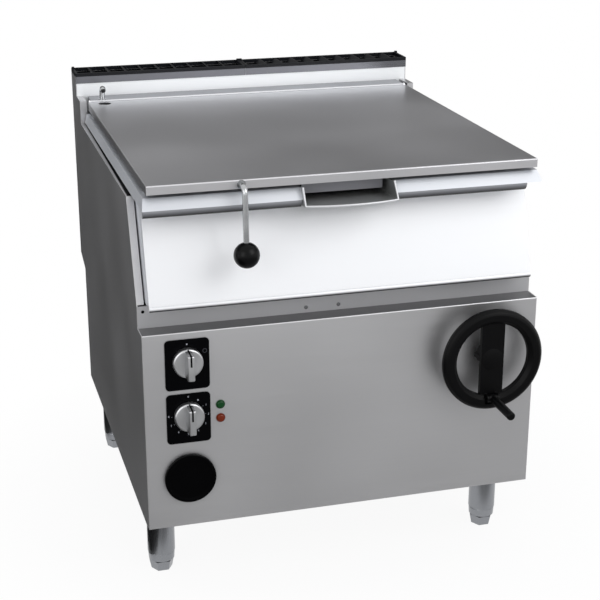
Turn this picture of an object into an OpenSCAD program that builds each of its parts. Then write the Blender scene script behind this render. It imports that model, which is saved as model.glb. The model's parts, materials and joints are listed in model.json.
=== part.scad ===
// Floor-standing tilting bratt pan with a hinged lid, a hand-cranked quadrant drive and a rear flue.
// Millimetres. X runs across the front, Y runs back from the front panel, Z is up from the floor.

/* [Cabinet] */
// Width over the two side panels
body_w = 850; // [800:10:1000]
// Depth from the front panel to the back of the flue
body_d = 930; // [900:10:1000]
// Height of the underside of the cabinet above the floor
leg_h = 166; // [150:2:200]
// Height of the front panel
panel_h = 431; // [412:1:440]
// Height of the upright strip between the front panel and the pan
sill_h = 47; // [40:1:50]
// How far that strip stands back from the front panel
sill_d = 44; // [40:1:50]
// Height of the side panels' top edge above the front panel
pan_rise = 253; // [243:1:273]
// How far the slanted front edge of a side panel leans back
slant_d = 80; // [60:1:90]
// Thickness of the casing sheet
sheet_t = 2; // [1.5:0.25:2.5]
// Width of the folded edge along the slanted front of a side panel
edge_flange = 15; // [12:1:16]

/* [Rear columns and flue] */
// Depth of the columns in front of the flue
column_d = 60; // [50:1:70]
// Width of each column
column_w = 16; // [14:1:17]
// Height of the columns above the side panels
column_h = 56; // [50:1:62]
// Depth of the flue
flue_d = 80; // [70:1:90]
// Height of the flue's front above the columns
flue_h = 48; // [40:1:60]
// How far the lower back stands in from the back of the flue
back_step_d = 73; // [60:1:78]
// Height of the step in the back above the floor
back_step_z = 484; // [440:1:520]
// Height of the slope in that step
back_step_h = 22; // [15:1:40]
// Height of the flue grilles
grille_h = 8; // [6:1:12]
// Openings in each flue grille
grille_bays = 10; // [6:1:14]
// Height of the steel strip below the grilles
flue_trim_h = 14; // [10:1:18]

/* [Legs] */
// Outer diameter of the leg tubes
leg_dia = 60; // [50:1:64]
// Wall of the leg tubes
leg_wall = 2; // [1.5:0.25:3]
// Distance of the leg centres from the cabinet's sides
leg_inset_x = 47; // [46:1:60]
// Distance of the front leg centres from the front panel
leg_front_y = 131; // [100:1:150]
// Distance of the rear leg centres from the lower back
leg_rear_inset = 86; // [60:1:110]
// Height of the foot that shows below its tube
foot_show = 44; // [38:1:60]
// Height of the foot's six-sided end
foot_hex_h = 25; // [15:1:30]
// Travel of the levelling foot
foot_travel = 50; // [20:1:55]

/* [Pan] */
// Height of the tilting axis above the upright strip
pivot_rise = 18; // [18:0.5:20]
// Largest tilt of the pan in degrees
tilt_range = 80; // [60:1:80]
// Depth of cooking space below the rim
tank_depth = 160; // [120:1:165]
// Wall of the tank
tank_wall = 3; // [2:0.5:4]
// Thickness of the tank's heated bottom
tank_base = 10; // [6:1:12]
// Radius of the tank's upright corners
tank_corner = 25; // [15:1:28]
// Gap between the tank's wall and its side casing
tank_gap_x = 16; // [14:1:30]
// Distance of the tank's front wall behind the front panel
tank_front_y = 85; // [80:1:100]
// Height of the rim above the side panels
rim_rise = 26; // [24:1:32]
// Height of the rim's sloping front
rim_drop = 21; // [16:1:21]
// How far the rim's sloping front leans out
rim_lean = 20; // [15:1:24]
// Distance of the rim's top edge behind the front panel
rim_front_y = 8; // [5:1:14]
// How far the rim overhangs the pan's casing at each side
rim_over = 4; // [3:0.5:5]
// Width of the pouring spout
spout_w = 194; // [140:2:240]
// Sheet of the pouring spout
spout_t = 3; // [2:0.5:4]
// How far the spout's bowed lip bulges in the middle
spout_bow = 15; // [8:1:20]
// How far the spout's bottom lip reaches in front of the front panel
spout_reach = 30; // [25:1:45]
// Distance of the apron's top edge behind the front panel
apron_lean = 65; // [50:1:72]

/* [Lid] */
// Height of the lid's folded edge
lid_h = 18; // [14:1:22]
// Gap between the rim and the lid's folded edge
lid_gap = 9; // [6:1:10]
// How far the lid's front edge reaches in front of the front panel
lid_reach = 5; // [0:1:8]
// Diameter of the filling hole in the lid
fill_hole = 30; // [28:0.5:32]
// Distance of the filling hole from the lid's left edge
fill_inset = 37; // [34:1:60]
// Diameter of the lid handle's rod
rod_dia = 12; // [10:0.5:14]
// Diameter of the lid handle's ball
ball_dia = 52; // [40:1:56]
// Distance of the lid handle from the middle
handle_x = 219; // [120:1:300]

/* [Tilting drive] */
// Module of the quadrant's teeth
gear_module = 4; // [4:0.5:4.5]
// Teeth that the quadrant would have on a full circle
quadrant_teeth = 100; // [96:2:100]
// Teeth of the pinion
pinion_teeth = 14; // [13:1:16]
// Face width of the quadrant
gear_face = 14; // [10:1:16]
// Diameter of the handwheel
wheel_dia = 216; // [190:2:230]
// Width of the handwheel's rim
wheel_rim = 27; // [22:1:32]
// Depth of the handwheel's rim from front to back
wheel_depth = 24; // [20:1:28]
// Distance of the handwheel's shaft from the cabinet's side
wheel_inset = 118; // [118:1:125]
// Distance of the handwheel's shaft below the front panel's top
wheel_drop = 110; // [101:1:131]
// Length of the folding crank handle
crank_l = 100; // [80:1:110]
// Diameter of the folding crank handle
crank_dia = 16; // [12:1:17]

/* [Controls] */
// Distance of the control column from the cabinet's side
control_inset = 90.5; // [75:0.5:125]
// Width of a dial plate
plate_w = 91; // [84:1:100]
// Height of a dial plate
plate_h = 109; // [100:1:112]
// Distance of the upper dial plate's top from the front panel's top
plate_top = 14.5; // [10:0.5:30]
// Gap between the two dial plates
plate_gap = 9; // [6:0.5:20]
// Diameter of the control knobs
knob_dia = 62; // [50:1:70]
// Diameter of the pilot lamps
lamp_dia = 16; // [14:0.5:18]
// Diameter of the water tap's knob
tap_dia = 107; // [90:1:112]
// Distance of the water tap's knob below the front panel's top
tap_drop = 321; // [315:1:341]

/* [Hidden] */
$fn = 96;
// Overrun of a cut past the face that it opens
over = 1;
// Clearance between parts that turn or slide in each other
run_gap = 0.05;
// Seating gap between a part and what carries it
seat_gap = 0.2;

half_w = body_w / 2;
inner_w = half_w - sheet_t;
panel_top = leg_h + panel_h;
work_h = panel_top + pan_rise;
sill_top = panel_top + sill_h;
flue_y = body_d - flue_d;
column_y = flue_y - column_d;
column_z = work_h + column_h;
flue_z = column_z + flue_h;
back_y = body_d - back_step_d;
slant_y = sill_d + slant_d;

// The tilting axis stands a little behind the middle of the sill's depth
pivot_set = 2;
pivot_y = sill_d / 2 + pivot_set;
pivot_z = sill_top + pivot_rise;
rim_z = work_h + rim_rise;
pan_clear = 3;
pan_half = half_w - edge_flange - pan_clear;
casing_t = sheet_t;
tank_half = pan_half - casing_t - tank_gap_x;
tank_bottom = rim_z - tank_depth;
tank_low = tank_bottom - tank_base;
rim_t = 3;

lid_low = rim_z + lid_gap;
lid_z = lid_low + lid_h;
lid_gap_rear = 2;
lid_rear = column_y - lid_gap_rear;
lid_inset = 1;
lid_half = pan_half - lid_inset;
hinge_in = 5;
hinge_drop = 1;
hinge_y = column_y + hinge_in;
hinge_z = lid_z - hinge_drop;

wheel_z = panel_top - wheel_drop;
wheel_x = half_w - wheel_inset;
control_x = half_w - control_inset;
wheel_back = 36;
wheel_front = wheel_back + wheel_depth;
crank_inset = 24;
crank_r = wheel_dia / 2 - crank_inset;
front_reach = wheel_front + crank_l;
// The frame's origin stands on the floor, midway between the crank handle's end and the flue's back
front_y = -(body_d - front_reach) / 2;

// Places everything that is set out from the front panel's face
module set_out() {
    translate([0, front_y, 0]) children();
}

// Extrudes an outline of [y, z] points from x0 to x1
module along_x(x0, x1) {
    translate([x0, 0, 0]) rotate([90, 0, 90]) linear_extrude(x1 - x0) children();
}

// Extrudes an outline of [x, z] points from y0 to y1
module along_y(y0, y1) {
    translate([0, y1, 0]) rotate([90, 0, 0]) linear_extrude(y1 - y0) children();
}

// Extrudes an outline of [x, y] points from z0 to z1
module along_z(z0, z1) {
    translate([0, 0, z0]) linear_extrude(z1 - z0) children();
}

// A box between two corners
module span(low, high) {
    translate(low) cube(high - low);
}

// A copy of the same thing at both sides
module both_sides() {
    children();
    mirror([1, 0, 0]) children();
}

// A round bar from a start point along X
module bar_x(p, l, d) {
    translate(p) rotate([0, 90, 0]) cylinder(h = l, d = d);
}

// A round bar from a start point along Y
module bar_y(p, l, d) {
    translate(p) rotate([-90, 0, 0]) cylinder(h = l, d = d);
}

// Turns an outline of [radius, distance] points about an axis that points out of the front panel
module turned() {
    rotate([90, 0, 0]) rotate_extrude() children();
}

// A rectangle with round corners about its centre
module round_rect(w, h, r) {
    square([w - 2 * r, h], center = true);
    square([w, h - 2 * r], center = true);
    for (sx = [-1, 1], sy = [-1, 1])
        translate([sx * (w / 2 - r), sy * (h / 2 - r)]) circle(r);
}

// Outline of a sheet that follows an open line of points and lies on the line's left for a positive t
function left_of(v) = [-v[1], v[0]] / norm(v);
function mitre(p, i, t) =
    let (a = left_of(i > 0 ? p[i] - p[i - 1] : p[1] - p[0]),
         b = left_of(i < len(p) - 1 ? p[i + 1] - p[i] : p[i] - p[i - 1]),
         m = a + b)
    p[i] + m * 2 * t / (m * m);
function folded(p, t) = concat(p, [for (i = [len(p) - 1 : -1 : 0]) mitre(p, i, t)]);

// Points of a round fold about c from angle a0 to a1, in n steps
function polar(r, a) = r * [cos(a), sin(a)];
function fold_points(c, r, a0, a1, n) = [for (i = [0 : n]) c + polar(r, a0 + (a1 - a0) * i / n)];

// Cabinet sheet metal

foot_flange = 10;
flange_start = 3;

// Right-hand side panel with its folded edges and its hollow rear column
module side_panel() {
    column_x = half_w - column_w;
    slope = (slant_y - sill_d) / (work_h - sill_top);
    along_x(inner_w, half_w) polygon([
        [sheet_t, leg_h], [sheet_t, panel_top], [sill_d, panel_top], [sill_d, sill_top], [slant_y, work_h],
        [column_y, work_h], [column_y, column_z], [flue_y, column_z], [flue_y, flue_z], [body_d, flue_z],
        [body_d, back_step_z], [back_y, back_step_z - back_step_h], [back_y, leg_h]]);
    along_x(half_w - edge_flange, inner_w) polygon(folded([
        [sill_d + slope * flange_start, sill_top + flange_start], [slant_y, work_h],
        [column_y + sheet_t, work_h]], -sheet_t));
    along_x(column_x, inner_w)
        polygon(folded([[column_y, work_h], [column_y, column_z], [flue_y, column_z]], -sheet_t));
    along_x(column_x, column_x + sheet_t) polygon([
        [column_y, work_h - sheet_t], [column_y, column_z], [flue_y, column_z], [flue_y, work_h - sheet_t]]);
    span([inner_w - foot_flange, sheet_t, leg_h], [inner_w, back_y - sheet_t, leg_h + sheet_t]);
}
module right_side_panel() {
    color("#9a9c9e") set_out() side_panel();
}
module left_side_panel() {
    color("#9a9c9e") set_out() mirror([1, 0, 0]) side_panel();
}

// Height of a knob's axis above the middle of its plate
knob_rise = 6.5;
knob_z = [
    panel_top - plate_top - plate_h / 2 + knob_rise,
    panel_top - plate_top - plate_gap - 3 * plate_h / 2 + knob_rise
];
spindle_hole = 14;
spindle_dia = 8;
lamp_aside = 66.5;
lamp_x = control_x - lamp_aside;
lamp_low = [164, 194];
lamp_z = [panel_top - lamp_low[0], panel_top - lamp_low[1]];
lamp_body = 12;
tap_z = panel_top - tap_drop;
tap_hole = 24;
shaft_dia = 18;
bearing_dia = 34;
panel_lip = 20;

// Front panel: face, bottom fold and side folds, drilled for the controls and the drive shaft
module front_panel() {
    through = sheet_t + 2 * over;
    color("#a0a1a2") set_out() difference() {
        union() {
            span([-half_w, 0, leg_h], [half_w, sheet_t, panel_top]);
            span([-inner_w + foot_flange, sheet_t, leg_h], [inner_w - foot_flange, panel_lip, leg_h + sheet_t]);
            both_sides() span(
                [inner_w - sheet_t, sheet_t, leg_h + sheet_t],
                [inner_w, panel_lip, panel_top - panel_lip]);
        }
        for (z = knob_z) bar_y([-control_x, -over, z], through, spindle_hole);
        for (z = lamp_z) bar_y([-lamp_x, -over, z], through, lamp_body);
        bar_y([-control_x, -over, tap_z], through, tap_hole);
        bar_y([wheel_x, -over, wheel_z], through, bearing_dia);
    }
}

strip_lip = 12;
strip_back = 8;
strip_hole = 7;
screw_x = [-74, -4];
screw_z = panel_top + sill_h / 4;
screw_dia = 4;

// Recessed strip between the front panel and the pan, drilled for its screws and a cable plug
module recess_strip() {
    color("#969798") set_out() difference() {
        along_x(-inner_w, inner_w) polygon(folded([
            [sheet_t, panel_top - strip_lip], [sheet_t, panel_top], [sill_d, panel_top], [sill_d, sill_top],
            [sill_d + strip_back, sill_top]], -sheet_t));
        bar_y([-half_w + strip_lip, sill_d - over, sill_top - strip_lip], sheet_t + 2 * over, strip_hole);
        for (x = screw_x) bar_y([x, sill_d - over, screw_z], sheet_t + 2 * over, screw_dia + 2 * run_gap);
    }
}

// Two screws in the recessed strip
module panel_screws() {
    head_t = 1.2;
    past = 1.5;
    color("#6b6d70") set_out() for (x = screw_x) {
        bar_y([x, sill_d - head_t, screw_z], head_t, 2 * screw_dia);
        bar_y([x, sill_d, screw_z], sheet_t + past, screw_dia);
    }
}

gland_x = 300;
gland_rise = 90;
gland_z = leg_h + gland_rise;
gland_bore = 18;
gland_dia = 32;
inlet_dia = 21;

// Back of the cabinet and of the flue, with its cooling slots
module rear_panel() {
    slot_w = 60;
    slot_h = 6;
    slot_rows = 6;
    slot_pitch = 16;
    slot_low = 180;
    color("#8e9092") set_out() difference() {
        along_x(-inner_w, inner_w) polygon(folded([
            [back_y, leg_h], [back_y, back_step_z - back_step_h], [body_d, back_step_z], [body_d, flue_z]], sheet_t));
        bar_y([gland_x, back_y - sheet_t - over, gland_z], sheet_t + 2 * over, gland_dia);
        bar_y([-control_x, back_y - sheet_t - over, tap_z], sheet_t + 2 * over, inlet_dia);
        for (c = [-1 : 1], r = [0 : slot_rows - 1])
            translate([c * 2 * slot_w, 0, back_step_z - slot_low + r * slot_pitch])
                along_y(back_y - sheet_t - over, back_y + over) round_rect(slot_w, slot_h, slot_h / 3);
    }
}

trim_proud = 2;

// Upright front wall of the flue, from the step in the back up to the grilles
module flue_front() {
    lip = 10;
    color("#f4f4f4") set_out() along_x(-inner_w, inner_w)
        polygon(folded([[flue_y, back_step_z], [flue_y, flue_z], [flue_y + lip, flue_z]], -sheet_t));
}

seam = 0.5;

// Steel strip under the grilles, in two lengths that meet in the middle
module flue_trim() {
    color("#8f9194") set_out() both_sides()
        span([seam, flue_y - trim_proud, flue_z - flue_trim_h], [half_w, flue_y, flue_z]);
}

// Right-hand flue grille: a frame, leaning ribs, and a stud at each end
module flue_grille() {
    frame_w = 6;
    rib_t = 4;
    rib_lean = 10;
    stud_h = 4;
    stud_w = 7;
    y0 = flue_y - trim_proud;
    z1 = flue_z + grille_h;
    pitch = (half_w - seam - 2 * frame_w) / grille_bays;
    span([seam, y0, flue_z], [half_w, y0 + frame_w, z1]);
    span([seam, body_d - frame_w, flue_z], [half_w, body_d, z1]);
    for (x = [seam, half_w - frame_w]) {
        span([x, y0, flue_z], [x + frame_w, body_d, z1]);
        span([x, body_d - 2 * stud_w, z1], [x + frame_w, body_d - stud_w, z1 + stud_h]);
    }
    for (i = [1 : grille_bays - 1])
        translate([seam + frame_w + i * pitch, 0, 0]) along_y(y0 + frame_w - over, body_d - frame_w + over)
            polygon([
                [-rib_lean / 2, flue_z], [rib_t - rib_lean / 2, flue_z],
                [rib_t + rib_lean / 2, z1], [rib_lean / 2, z1]]);
}
module flue_grille_right() {
    color("#15171c") set_out() flue_grille();
}
module flue_grille_left() {
    color("#15171c") set_out() mirror([1, 0, 0]) flue_grille();
}

tray_t = 3;
tray_h = 16;
tray_clear = 1;
tray_z = leg_h + sheet_t;
tray_floor = tray_z + tray_t;

// Folded floor of the cabinet that carries the legs, the drive and the casing
module base_tray() {
    x = inner_w - sheet_t - tray_clear;
    y0 = panel_lip + tray_clear;
    y1 = back_y - sheet_t;
    color("#7f8183") set_out() difference() {
        span([-x, y0, tray_z], [x, y1, tray_z + tray_h]);
        span([-x + tray_t, y0 + tray_t, tray_floor], [x - tray_t, y1 - tray_t, tray_z + tray_h + over]);
    }
}

leg_x = half_w - leg_inset_x;
leg_rear_y = back_y - leg_rear_inset;
leg_places = [[-leg_x, leg_front_y], [leg_x, leg_front_y], [-leg_x, leg_rear_y], [leg_x, leg_rear_y]];

// Four round leg tubes under the floor tray
module leg_tubes() {
    l = tray_z - foot_show;
    color("#8a8c8e") set_out() for (p = leg_places) translate([p[0], p[1], foot_show]) difference() {
        cylinder(h = l, d = leg_dia);
        translate([0, 0, -over]) cylinder(h = l + over - tray_t, d = leg_dia - 2 * leg_wall);
    }
}

// A levelling foot: a plunger in the tube, a collar below it and a six-sided end
module levelling_foot(p) {
    held = 15;
    plunger_l = foot_travel + held;
    plunger_r = leg_dia / 2 - leg_wall - run_gap;
    bevel = 1;
    hex_chamfer = 3;
    collar_r = leg_dia / 2 - bevel;
    hex_z = foot_hex_h - hex_chamfer;
    top = foot_show - seat_gap;
    color("#808284") set_out() translate([p[0], p[1], 0]) {
        rotate_extrude() polygon([
            [0, hex_z], [collar_r - 2 * hex_chamfer, hex_z], [collar_r - bevel, foot_hex_h],
            [collar_r, top - hex_chamfer], [collar_r - bevel, top], [plunger_r, top],
            [plunger_r, top + plunger_l], [0, top + plunger_l]]);
        cylinder(h = hex_z, r1 = collar_r - 2 * hex_chamfer, r2 = collar_r - hex_chamfer / 2, $fn = 6);
    }
}
module foot_front_left() levelling_foot(leg_places[0]);
module foot_front_right() levelling_foot(leg_places[1]);
module foot_rear_left() levelling_foot(leg_places[2]);
module foot_rear_right() levelling_foot(leg_places[3]);

// Tilting axis and its carriers in the cabinet

beam_t = 3;
beam_gap = 2;
beam_y = sill_d + sheet_t + beam_gap;
beam_d = 32;
beam_h = 48;
beam_top = sill_top - sheet_t - beam_gap;
bracket_t = 8;
arm_t = 16;
arm_inset = 123;
arm_x = half_w - arm_inset;
arm_gap = 1;
ear_x = arm_x - arm_gap - bracket_t;
eye_r = 14;
eye_rise = 4;
pin_dia = 16;

// Channel across the cabinet behind the recessed strip
module cross_beam() {
    y1 = beam_y + beam_d;
    z0 = beam_top - beam_h;
    color("#7f8183") set_out() along_x(-inner_w, inner_w)
        polygon(folded([[y1, z0], [beam_y, z0], [beam_y, beam_top], [y1, beam_top]], -beam_t));
}

// Ears that stand on the channel on each side of the pan's two arms
module pivot_brackets() {
    y0 = beam_y + eye_rise;
    y1 = beam_y + beam_d;
    low = sill_top + pivot_rise - eye_r;
    color("#6f7173") set_out() both_sides() for (x = [ear_x, arm_x + arm_t + arm_gap])
        along_x(x, x + bracket_t) difference() {
            union() {
                translate([pivot_y, pivot_z]) circle(eye_r);
                polygon([
                    [y1, beam_top], [y1, pivot_z + eye_r / 2], [pivot_y, pivot_z + eye_r], [pivot_y, low],
                    [y0, low], [y0 + eye_rise, beam_top]]);
            }
            translate([pivot_y, pivot_z]) circle(d = pin_dia + 2 * run_gap);
        }
}

// Two headed pins on the tilting axis
module pivot_pins() {
    head_t = 3;
    stub = 1;
    color("#b5b7b9") set_out() both_sides() {
        bar_x([ear_x - seat_gap - head_t, pivot_y, pivot_z], head_t, pin_dia + 2 * head_t);
        bar_x([ear_x - seat_gap - stub, pivot_y, pivot_z],
            seat_gap + 2 * (stub + bracket_t + arm_gap) + arm_t, pin_dia);
    }
}

// Controls

plate_t = 1.5;
plate_corner = 9;

// A dial plate with the hole for its spindle
module dial_plate(z) {
    color("#111214") set_out() translate([-control_x, 0, z]) difference() {
        translate([0, 0, -knob_rise]) along_y(-plate_t, 0) round_rect(plate_w, plate_h, plate_corner);
        bar_y([0, -plate_t - over, 0], plate_t + 2 * over, spindle_hole);
    }
}
module upper_dial_plate() dial_plate(knob_z[0]);
module lower_dial_plate() dial_plate(knob_z[1]);

knob_back = 3;
knob_face = 16;
knob_crown = 1;
knob_top = 27;
knob_dome = 5;
grip_w = 15;
grip_over = 5;
spindle_out = 10;
control_depth = 50;
control_body = 44;

// Switch block behind the panel with its spindle
module selector_switch() {
    color("#d8d8d4") set_out() translate([-control_x, 0, knob_z[0]]) {
        span([-control_body / 2, sheet_t, -control_body / 2],
            [control_body / 2, sheet_t + control_depth, control_body / 2]);
        bar_y([0, -spindle_out, 0], spindle_out + sheet_t, spindle_dia);
    }
}

// Round thermostat behind the panel with its spindle
module thermostat() {
    color("#d8d8d4") set_out() translate([-control_x, 0, knob_z[1]]) {
        bar_y([0, sheet_t, 0], control_depth, control_body);
        bar_y([0, -spindle_out, 0], spindle_out + sheet_t, spindle_dia);
    }
}

// A control knob: a domed disc, a grip bar past its lower edge and a blind bore for the spindle
module control_knob(z) {
    r = knob_dia / 2;
    shoulder = knob_face - knob_dome;
    color("#b9babc") set_out() translate([-control_x, 0, z]) difference() {
        union() {
            turned() polygon(concat(
                [[0, knob_back], [r, knob_back]],
                fold_points([r - knob_dome, shoulder], knob_dome, 0, 90, 5),
                [[0, knob_face + knob_crown]]));
            along_y(-knob_top, -shoulder) union() {
                translate([-grip_w / 2, -r - grip_over]) square([grip_w, r + grip_over]);
                circle(d = grip_w);
            }
        }
        bar_y([0, -spindle_out - seat_gap, 0], spindle_out + seat_gap, spindle_dia + 2 * run_gap);
    }
}
module selector_knob() control_knob(knob_z[0]);
module thermostat_knob() control_knob(knob_z[1]);

// A pilot lamp: a domed lens with a collar and a body behind the panel
module pilot_lamp(z, hue) {
    lens_r = 3.5;
    lens_crown = 0.5;
    collar = 1.5;
    body_l = 22;
    r = lamp_dia / 2;
    color(hue) set_out() translate([-lamp_x, 0, z]) {
        turned() polygon(concat(
            [[0, 0], [r + collar, 0], [r + collar, collar], [r, collar]],
            fold_points([r - lens_r, collar], lens_r, 0, 90, 4),
            [[0, collar + lens_r + lens_crown]]));
        bar_y([0, 0, 0], body_l, lamp_body - 2 * run_gap);
    }
}
module green_lamp() pilot_lamp(lamp_z[0], "#0c6a2c");
module amber_lamp() pilot_lamp(lamp_z[1], "#a03a10");

tap_back = 1;
tap_t = 9;
tap_bore = 4;
tap_spindle = 10;

// Flat round knob of the water tap with a bevelled rim and a dished face
module tap_knob() {
    r = tap_dia / 2;
    bevel = 1;
    rim = 5;
    dish = 2.5;
    color("#17181a") set_out() translate([-control_x, 0, tap_z]) difference() {
        turned() polygon([
            [0, tap_back], [r - bevel, tap_back], [r, tap_back + bevel], [r, tap_t - bevel], [r - bevel, tap_t],
            [r - rim, tap_t], [r - 2 * rim, tap_t - dish / 2], [r / 2, tap_t - dish], [0, tap_t - dish]]);
        bar_y([0, -tap_back - tap_bore, 0], tap_back + tap_bore, tap_spindle + 2 * run_gap);
    }
}

valve_dia = 34;
valve_l = 40;
pipe_dia = 15;
pipe_nut = 6;

// Water valve behind the panel with its nut for the pipe
module water_valve() {
    color("#b08d4a") set_out() translate([-control_x, 0, tap_z]) {
        bar_y([0, sheet_t, 0], valve_l, valve_dia);
        bar_y([0, -tap_back - tap_bore + seat_gap, 0], tap_back + tap_bore + sheet_t - seat_gap, tap_spindle);
        bar_y([0, sheet_t + valve_l, 0], pipe_nut, pipe_dia + pipe_nut);
    }
}

inlet_l = 24;
inlet_collar = 3;
inlet_neck = 2;

// Water pipe from the threaded inlet at the back straight to the valve
module water_pipe() {
    valve_end = sheet_t + valve_l + pipe_nut;
    color("#b77b4a") set_out() translate([-control_x, 0, tap_z]) {
        bar_y([0, back_y, 0], inlet_l, inlet_dia);
        bar_y([0, back_y - sheet_t, 0], sheet_t, inlet_dia - inlet_neck);
        bar_y([0, back_y - sheet_t - inlet_collar, 0], inlet_collar, inlet_dia + 2 * inlet_collar);
        bar_y([0, valve_end, 0], back_y - sheet_t - inlet_collar - valve_end, pipe_dia);
    }
}

// Cable gland through the back
module cable_gland() {
    out = 22;
    inside = 18;
    nut_t = 6;
    nut_over = 4;
    color("#2b2c2e") set_out() translate([gland_x, back_y, gland_z]) difference() {
        union() {
            bar_y([0, 0, 0], nut_t, gland_dia + nut_over);
            bar_y([0, nut_t, 0], out - nut_t, gland_dia);
            bar_y([0, -sheet_t - inside, 0], inside + sheet_t, gland_dia - 2 * run_gap);
            bar_y([0, -sheet_t - nut_t, 0], nut_t, gland_dia + nut_over);
        }
        bar_y([0, -sheet_t - inside - over, 0], inside + sheet_t + out + 2 * over, gland_bore);
    }
}

// Terminal box on two spacers inside the back, above the cable gland
module terminal_box() {
    w = 120;
    d = 50;
    h = 140;
    spacer = 12;
    clear = 12;
    low = gland_z + gland_dia + clear;
    back = back_y - sheet_t - spacer;
    color("#c9c9c4") set_out() {
        span([gland_x - w / 2, back - d, low], [gland_x + w / 2, back, low + h]);
        for (share = [1, 5] / 6) bar_y([gland_x, back, low + share * h], spacer, spacer);
    }
}

// Tilting drive

pitch_r = gear_module * quadrant_teeth / 2;
pinion_r = gear_module * pinion_teeth / 2;
pressure = 25;
mesh_gap = 0.15;
backlash = 0.3;
mesh_angle = -10;
pitch_a = 360 / quadrant_teeth;
tooth_steps = ceil(tilt_range / pitch_a);
pinion_at = [pivot_y, pivot_z] + polar(pitch_r + pinion_r + mesh_gap, mesh_angle);
gear_gap = 4;
gear_x = arm_x + arm_t + 2 * arm_gap + bracket_t + gear_gap;

// Half of the angle that a tooth takes at radius r, on a gear of pitch radius pr with n teeth
function involute(a) = tan(a) * 180 / PI - a;
function tooth_half(r, pr, n) =
    let (at = acos(min(1, pr * cos(pressure) / r)))
    90 / n - backlash / pr * 45 / PI + involute(pressure) - involute(at);

// Outline of one tooth about the angle a
function tooth(a, pr, n) =
    let (root = pr - 1.25 * gear_module, tip = pr + gear_module, steps = 4, deep = root - gear_module / 2,
         radii = [for (i = [0 : steps]) deep + (tip - deep) * i / steps])
    concat(
        [for (r = radii) polar(r, a - tooth_half(r, pr, n))],
        [for (i = [steps : -1 : 0]) polar(radii[i], a + tooth_half(radii[i], pr, n))]);

arm_h = 24;

// Toothed quadrant with its web, on two spacers beside the pan's right arm
module quadrant_gear() {
    band = 14;
    web_gap = 4;
    bolt_dia = 12;
    root = pitch_r - 1.25 * gear_module;
    rim_in = root - band;
    first = mesh_angle + pitch_a / 2;
    end_land = 1;
    a0 = first + pitch_a / 2 + end_land;
    a1 = first - tooth_steps * pitch_a - pitch_a / 2 - end_land;
    web_y = beam_y + beam_d + web_gap - pivot_y;
    web_low = -(pivot_rise - web_gap);
    web_top = tank_low - pivot_z;
    web_end = first - 9 * pitch_a;
    color("#8b8d8f") set_out() {
        translate([0, pivot_y, pivot_z]) along_x(gear_x, gear_x + gear_face) {
            intersection() {
                difference() {
                    circle(root);
                    circle(rim_in);
                }
                polygon([[0, 0], for (i = [0 : 8]) polar(2 * root, a0 + (a1 - a0) * i / 8)]);
            }
            for (k = [0 : tooth_steps]) polygon(tooth(first - k * pitch_a, pitch_r, quadrant_teeth));
            difference() {
                polygon([
                    [web_y, web_low], [web_y, web_top], [rim_in, web_top], polar(root - over, first),
                    polar(root - over, (first + web_end) / 2), polar(rim_in + over, web_end)]);
                translate([(rim_in + web_y) / 2, web_low / 2]) circle(band);
            }
        }
        for (y = [web_y + bolt_dia, rim_in - bolt_dia])
            bar_x([arm_x + arm_t, pivot_y + y, tank_low - arm_h / 2], gear_x - arm_x - arm_t, bolt_dia);
    }
}

cross_dia = 20;
box_w = 56;
box_past = 15;
box_x = wheel_x + box_past - box_w;
cross_x = box_x + box_w / 2;
support_gap = 10;
support_x = gear_x + gear_face + support_gap;
support_t = 10;

// Pinion on its cross shaft
module pinion_shaft() {
    past = 6;
    collar = 1;
    color("#a9abad") set_out() translate([0, pinion_at[0], pinion_at[1]]) {
        bar_x([cross_x, 0, 0], support_x + support_t + past - cross_x, cross_dia);
        along_x(gear_x - collar, gear_x + gear_face + collar) {
            circle(pinion_r - 1.25 * gear_module);
            for (k = [0 : pinion_teeth - 1])
                polygon(tooth(mesh_angle + 180 + k * 360 / pinion_teeth, pinion_r, pinion_teeth));
        }
    }
}

box_head_r = 24;
box_depth = 84;
box_low = wheel_z - box_depth / 2;
shaft_seat = 18;
worm_y = pinion_at[0];

// Closed gearbox, bored in front for the drive shaft and at its side for the cross shaft
module gearbox() {
    color("#5d6264") set_out() difference() {
        along_x(box_x, box_x + box_w) {
            translate(pinion_at) circle(box_head_r);
            polygon([
                [worm_y - box_head_r, pinion_at[1]], [worm_y + box_head_r, pinion_at[1]],
                [worm_y + box_depth / 2, wheel_z], [worm_y - box_depth / 2, wheel_z]]);
            translate([worm_y, wheel_z]) square(box_depth, center = true);
        }
        bar_x([cross_x - seat_gap, worm_y, pinion_at[1]], box_w / 2 + seat_gap + over, cross_dia + 2 * run_gap);
        bar_y([wheel_x, worm_y - box_depth / 2 - over, wheel_z], shaft_seat + over, shaft_dia + 2 * run_gap);
    }
}

// Folded stand that carries the gearbox on the floor tray
module gearbox_stand() {
    t = 4;
    y0 = worm_y - box_depth / 2;
    y1 = worm_y + box_depth / 2;
    color("#7f8183") set_out() difference() {
        span([box_x, y0, tray_floor], [box_x + box_w, y1, box_low]);
        span([box_x + t, y0 - over, tray_floor + t], [box_x + box_w - t, y1 + over, box_low - t]);
    }
}

// Upright plate with the outer bearing of the cross shaft
module shaft_support() {
    w = 50;
    foot_d = 36;
    foot_t = 5;
    color("#7f8183") set_out() difference() {
        union() {
            along_x(support_x, support_x + support_t) {
                translate(pinion_at) circle(d = w);
                translate([worm_y - w / 2, tray_floor]) square([w, pinion_at[1] - tray_floor]);
            }
            span([support_x, worm_y - w / 2, tray_floor],
                [support_x + support_t + foot_d, worm_y + w / 2, tray_floor + foot_t]);
        }
        bar_x([support_x - over, worm_y, pinion_at[1]], support_t + 2 * over, cross_dia + 2 * run_gap);
    }
}

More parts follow.
